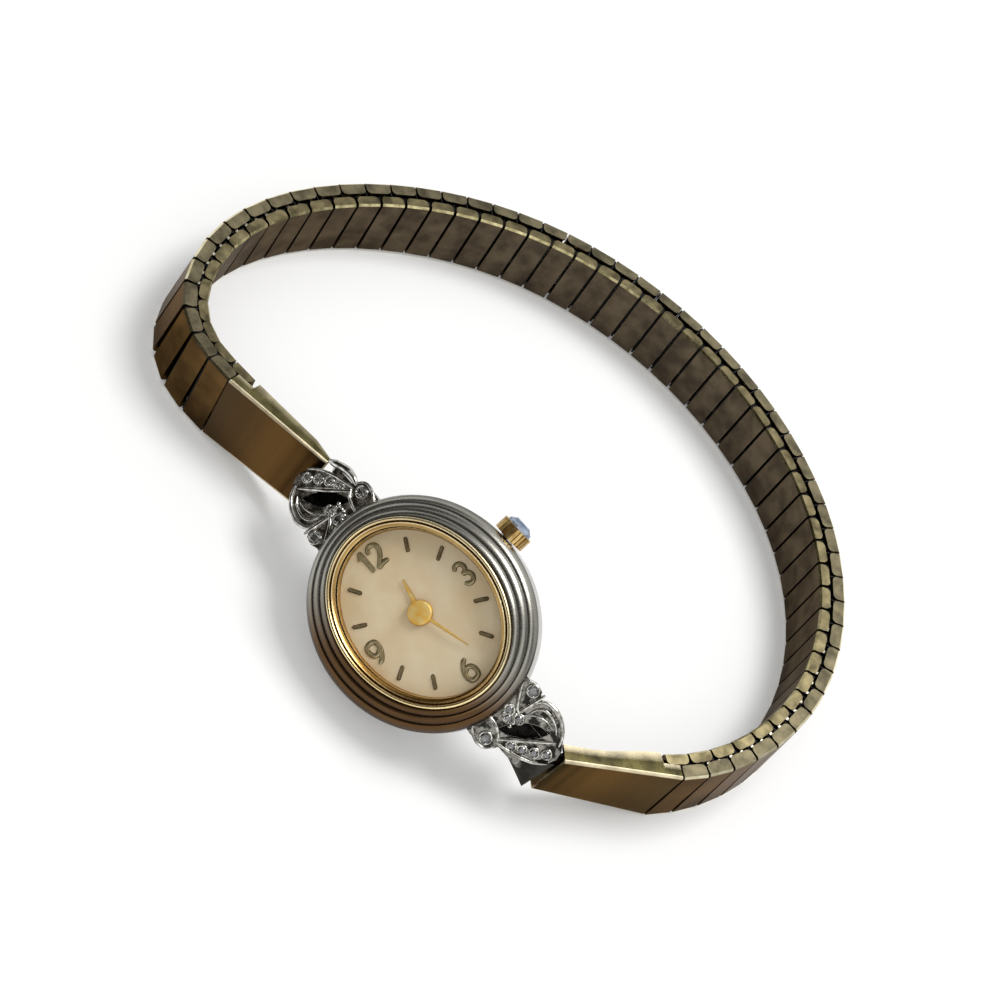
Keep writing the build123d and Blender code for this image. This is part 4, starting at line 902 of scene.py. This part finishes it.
for nodeName, side in (("upper_lug", 1), ("lower_lug", -1)):
    faces = bevelled(nodeName).data
    for inner in ("castHollow", "castWall"):
        faces.materials.append(metals[inner])
    flat = toLug(np.array([face.center[:] for face in faces.polygons]), side)
    start, end = (np.array(point) for point in lugShape["hollow"])
    way = unit(end - start)
    fromMiddle, height = flat[:, :2] - (start + end) / 2, flat[:, 2]
    inside = np.abs(fromMiddle @ way) < np.linalg.norm(end - start) / 2 + lugShape["margin"]
    across = np.abs(fromMiddle @ np.array([-way[1], way[0]]))
    inside &= across < lugShape["hollowWide"] / 2 + lugShape["margin"]
    lowest, highest = lugShape["hollowHeights"]
    hollow = inside & (height < highest) & (height > lowest)
    faces.polygons.foreach_set("material_index", np.where(
        hollow, 2, np.where(height < lugShape["wallTop"], 3, 0)).astype(np.int32))
print("edges rounded")


# Hub cap over the hands: a low dome turned from brass
hubShape = {"radius": 1.0, "low": 1.66, "foot": 0.02, "rise": 0.15, "around": 40, "rows": 8}


def hubMesh(look):
    # radius falls as cos, height rises as sin, closed by a pole and a flat foot
    angle = np.linspace(0, np.pi / 2, look["rows"])[:-1]
    ring = np.linspace(0, 2 * np.pi, look["around"], endpoint=False)
    radius = look["radius"] * np.append(1, np.cos(angle))[:, None]
    top = look["low"] + look["foot"]
    height = np.append(look["low"], top + look["rise"] * np.sin(angle))[:, None]
    grid = np.stack([radius * np.cos(ring), radius * np.sin(ring), height * np.ones_like(ring)], -1)
    points = np.vstack([grid.reshape(-1, 3), [[0, 0, look["low"]], [0, 0, top + look["rise"]]]])
    index = np.arange(grid.size // 3).reshape(grid.shape[:2])
    faces = gridFaces(index)[:-2]
    for edge, pole in ((index[-1], index.size + 1), (index[0][::-1], index.size)):
        faces += np.stack([edge, np.roll(edge, -1), np.full_like(edge, pole)], -1).tolist()
    return closedMesh("hubCap", inHead(points), faces, smoothAngle=50)


newPiece(hubMesh(hubShape), "handGold", "minute_arbor")


# Lug castings: ridges, beads and claws raised on the plates, in the lug's own X and Y, turned half round on
# the lower lug. Each ridge is a path and its radius at the start, the middle and the end
lugRidges = {
    "loopRim": (((-0.55, 11.25), (-1.6, 11.45), (-2.45, 11.75), (-2.80, 12.6), (-2.66, 13.6), (-2.30, 14.35),
                 (-1.70, 15.0), (-1.0, 15.35)), 0.10, 0.24, 0.14),
    "loopInner": (((-0.9, 11.75), (-1.7, 11.95), (-2.15, 12.4), (-2.2, 13.2), (-1.95, 13.95),
                 (-1.5, 14.5)), 0.08, 0.17, 0.08),
    "polishedBar": (((2.25, 11.45), (1.5, 12.25), (0.5, 13.3), (-0.4, 14.3), (-1.05, 15.0)),
                    0.16, 0.24, 0.12),
    "armEdge": (((2.45, 11.6), (2.2, 12.7), (1.88, 13.8), (1.35, 14.9), (0.62, 15.75)), 0.12, 0.17, 0.10),
    "leafVein": (((-0.6, 11.5), (-1.35, 12.3), (-1.65, 13.2), (-1.6, 14.0)), 0.06, 0.11, 0.05),
    "crossBar": (((-3.0, 11.55), (-1.8, 11.35), (-0.5, 11.1)), 0.16, 0.20, 0.14),
    "rootLeft": (((-2.75, 9.35), (-1.7, 10.0), (-0.75, 10.75), (-0.45, 11.4)), 0.14, 0.18, 0.12),
    "rootRight": (((1.35, 9.6), (1.45, 10.4), (1.75, 11.2), (2.3, 11.7)), 0.12, 0.18, 0.12),
    "triangleEdge": (((2.0, 9.2), (3.05, 9.55), (3.52, 10.5), (3.45, 11.3), (2.75, 11.85)), 0.10, 0.15, 0.10),
}
tipArm = (((2.80, 11.6), (3.04, 12.4), (2.98, 13.4), (2.45, 14.9)), 0.22, 0.36, 0.36)
lugGrains = ((-0.2, 9.95), (-0.1, 10.55), (0.45, 10.35), (0.62, 10.9), (-0.22, 11.1), (0.35, 11.45),
             (0.75, 11.45), (0.1, 9.45), (0.75, 9.8))
lugLook = {"grainRadius": 0.21, "samples": 28, "sides": 10, "lift": 0.05, "domed": 1.15,
           "swell": 0.12, "colletGap": 0.05, "colletRadius": 0.10, "clawRadius": 0.10, "clawShare": 0.98,
           "clawLift": 0.16, "clawAngles": (0.8, 2.37, 3.94, 5.51)}


def ridgeMesh(name, ridges, side):
    # a half-sunk tube along each path: its radius swells from one end to the middle and falls to the other
    ring = np.linspace(0, 2 * np.pi, lugLook["sides"], endpoint=False)
    tubes, swell = [], lugLook["swell"]
    for path, start, middle, end in ridges:
        line = smoothPath(path, lugLook["samples"])
        radius = np.interp(np.linspace(0, 1, len(line)), [0, swell, 0.5, 1 - swell, 1],
                           [start / 2, start, middle, end, end / 2])[:, None]
        flat = line[:, None] + leftOf(line)[:, None] * (radius * np.cos(ring))[..., None]
        height = radius * np.sin(ring) * lugLook["domed"] + lugLook["lift"]
        tubes.append(onLug(np.concatenate([flat, height[..., None]], -1), side))
    return tubesMesh(name, tubes, smoothAngle=60)


def beadMesh(name, places, radius, side, lift=0.0):
    # round grains: a sphere at each place, half sunk
    sphere = bmesh.new()
    bmesh.ops.create_icosphere(sphere, subdivisions=2, radius=1.0)
    ball = np.array([vertex.co[:] for vertex in sphere.verts])
    triangles = np.array([[vertex.index for vertex in face.verts] for face in sphere.faces])
    sphere.free()
    points = [onLug(ball * radius + [x, y, lift], side) for x, y in places]
    faces = np.vstack([triangles + len(ball) * number for number in range(len(points))])
    return closedMesh(name, np.vstack(points), faces.tolist(), smoothAngle=80)


def stonePlaces(side):
    # each set stone of this lug: its centre in the lug's plane and its radius, read from the solids
    found = []
    for island in separateSolids("lug_stones"):
        if toHead(island)[:, 1].mean() * side > 0:
            flat = toLug(island, side)[:, :2]
            low, high = flat.min(0), flat.max(0)
            found.append(((low + high) / 2, (high - low).max() / 2))
    return found


def aroundStone(stone, angles, share, gap):
    # points round a stone, at a share of its radius and a gap beyond
    centre, radius = stone
    return centre + (radius * share + gap) * np.stack([np.cos(angles), np.sin(angles)], -1)


# The lower lug's throat: a smooth web from the edge of its arm down to the end piece, its darkness a painted
# reflection
throatShape = {"arm": ((2.30, 11.7), (2.05, 13.4), (1.55, 14.9), (0.65, 15.8)), "armDepth": -0.12,
               "reach": 0.82, "clear": (0.95, 0.50), "sink": 0.12, "thick": 0.45, "sag": 0.35,
               "along": 20, "down": 12}


def throatMesh(shape, label, side):
    # ruled from the arm's edge to the end piece's edge, sagging by a sine between them; an offset copy
    # closes it
    roof, _ = coverCorners(label + "_end_piece")
    forward = unit((roof[1] - roof[0]).mean(0))
    top, bottom = roof[1]
    out = unit(np.cross(bottom - top, forward))
    out *= np.sign(out @ (top + bottom))
    arm = smoothPath(shape["arm"], shape["along"])
    start = onLug(np.column_stack([arm, np.full(len(arm), shape["armDepth"])]), side)
    share = np.linspace(0, shape["reach"], shape["along"])[:, None]
    clear = np.interp(share, (0, shape["reach"]), shape["clear"])
    end = bottom + (top - bottom) * share + (forward * clear - out * shape["sink"]) * mm
    v = np.linspace(0, 1, shape["down"])[None, :, None]
    sheet = start[:, None] * (1 - v) + end[:, None] * v - out * np.sin(v * np.pi) * shape["sag"] * mm
    normal = unit(np.cross(np.gradient(sheet, axis=0), np.gradient(sheet, axis=1)))
    normal *= np.sign((normal @ out).mean())
    under = sheet - normal * shape["thick"] * mm
    return tubesMesh(label + "Throat", [np.concatenate([sheet, under[:, ::-1]], 1)], smoothAngle=50)


newPiece(throatMesh(throatShape, "lower", -1), "castShade", "head")

# the lower lug's raised work takes the darker finish: painted shade
for side, label, finish in ((1, "upper", "brightCast"), (-1, "lower", "wornCast")):
    stones = stonePlaces(side)
    rings = [(aroundStone(stone, np.linspace(0, 2 * np.pi, 9), 1.0, lugLook["colletGap"]),
              *[lugLook["colletRadius"]] * 3) for stone in stones]
    claws = np.vstack([aroundStone(stone, lugLook["clawAngles"], lugLook["clawShare"], 0.0)
                       for stone in stones])
    ridges = [*lugRidges.values()] + ([tipArm] if label == "upper" else [])
    for mesh in (ridgeMesh(label + "Scrolls", ridges, side),
                 beadMesh(label + "Grains", lugGrains, lugLook["grainRadius"], side),
                 ridgeMesh(label + "Collets", rings, side),
                 beadMesh(label + "Claws", claws, lugLook["clawRadius"], side, lugLook["clawLift"])):
        newPiece(mesh, finish, "head")
    print(label, "lug:", len(stones), "stones")
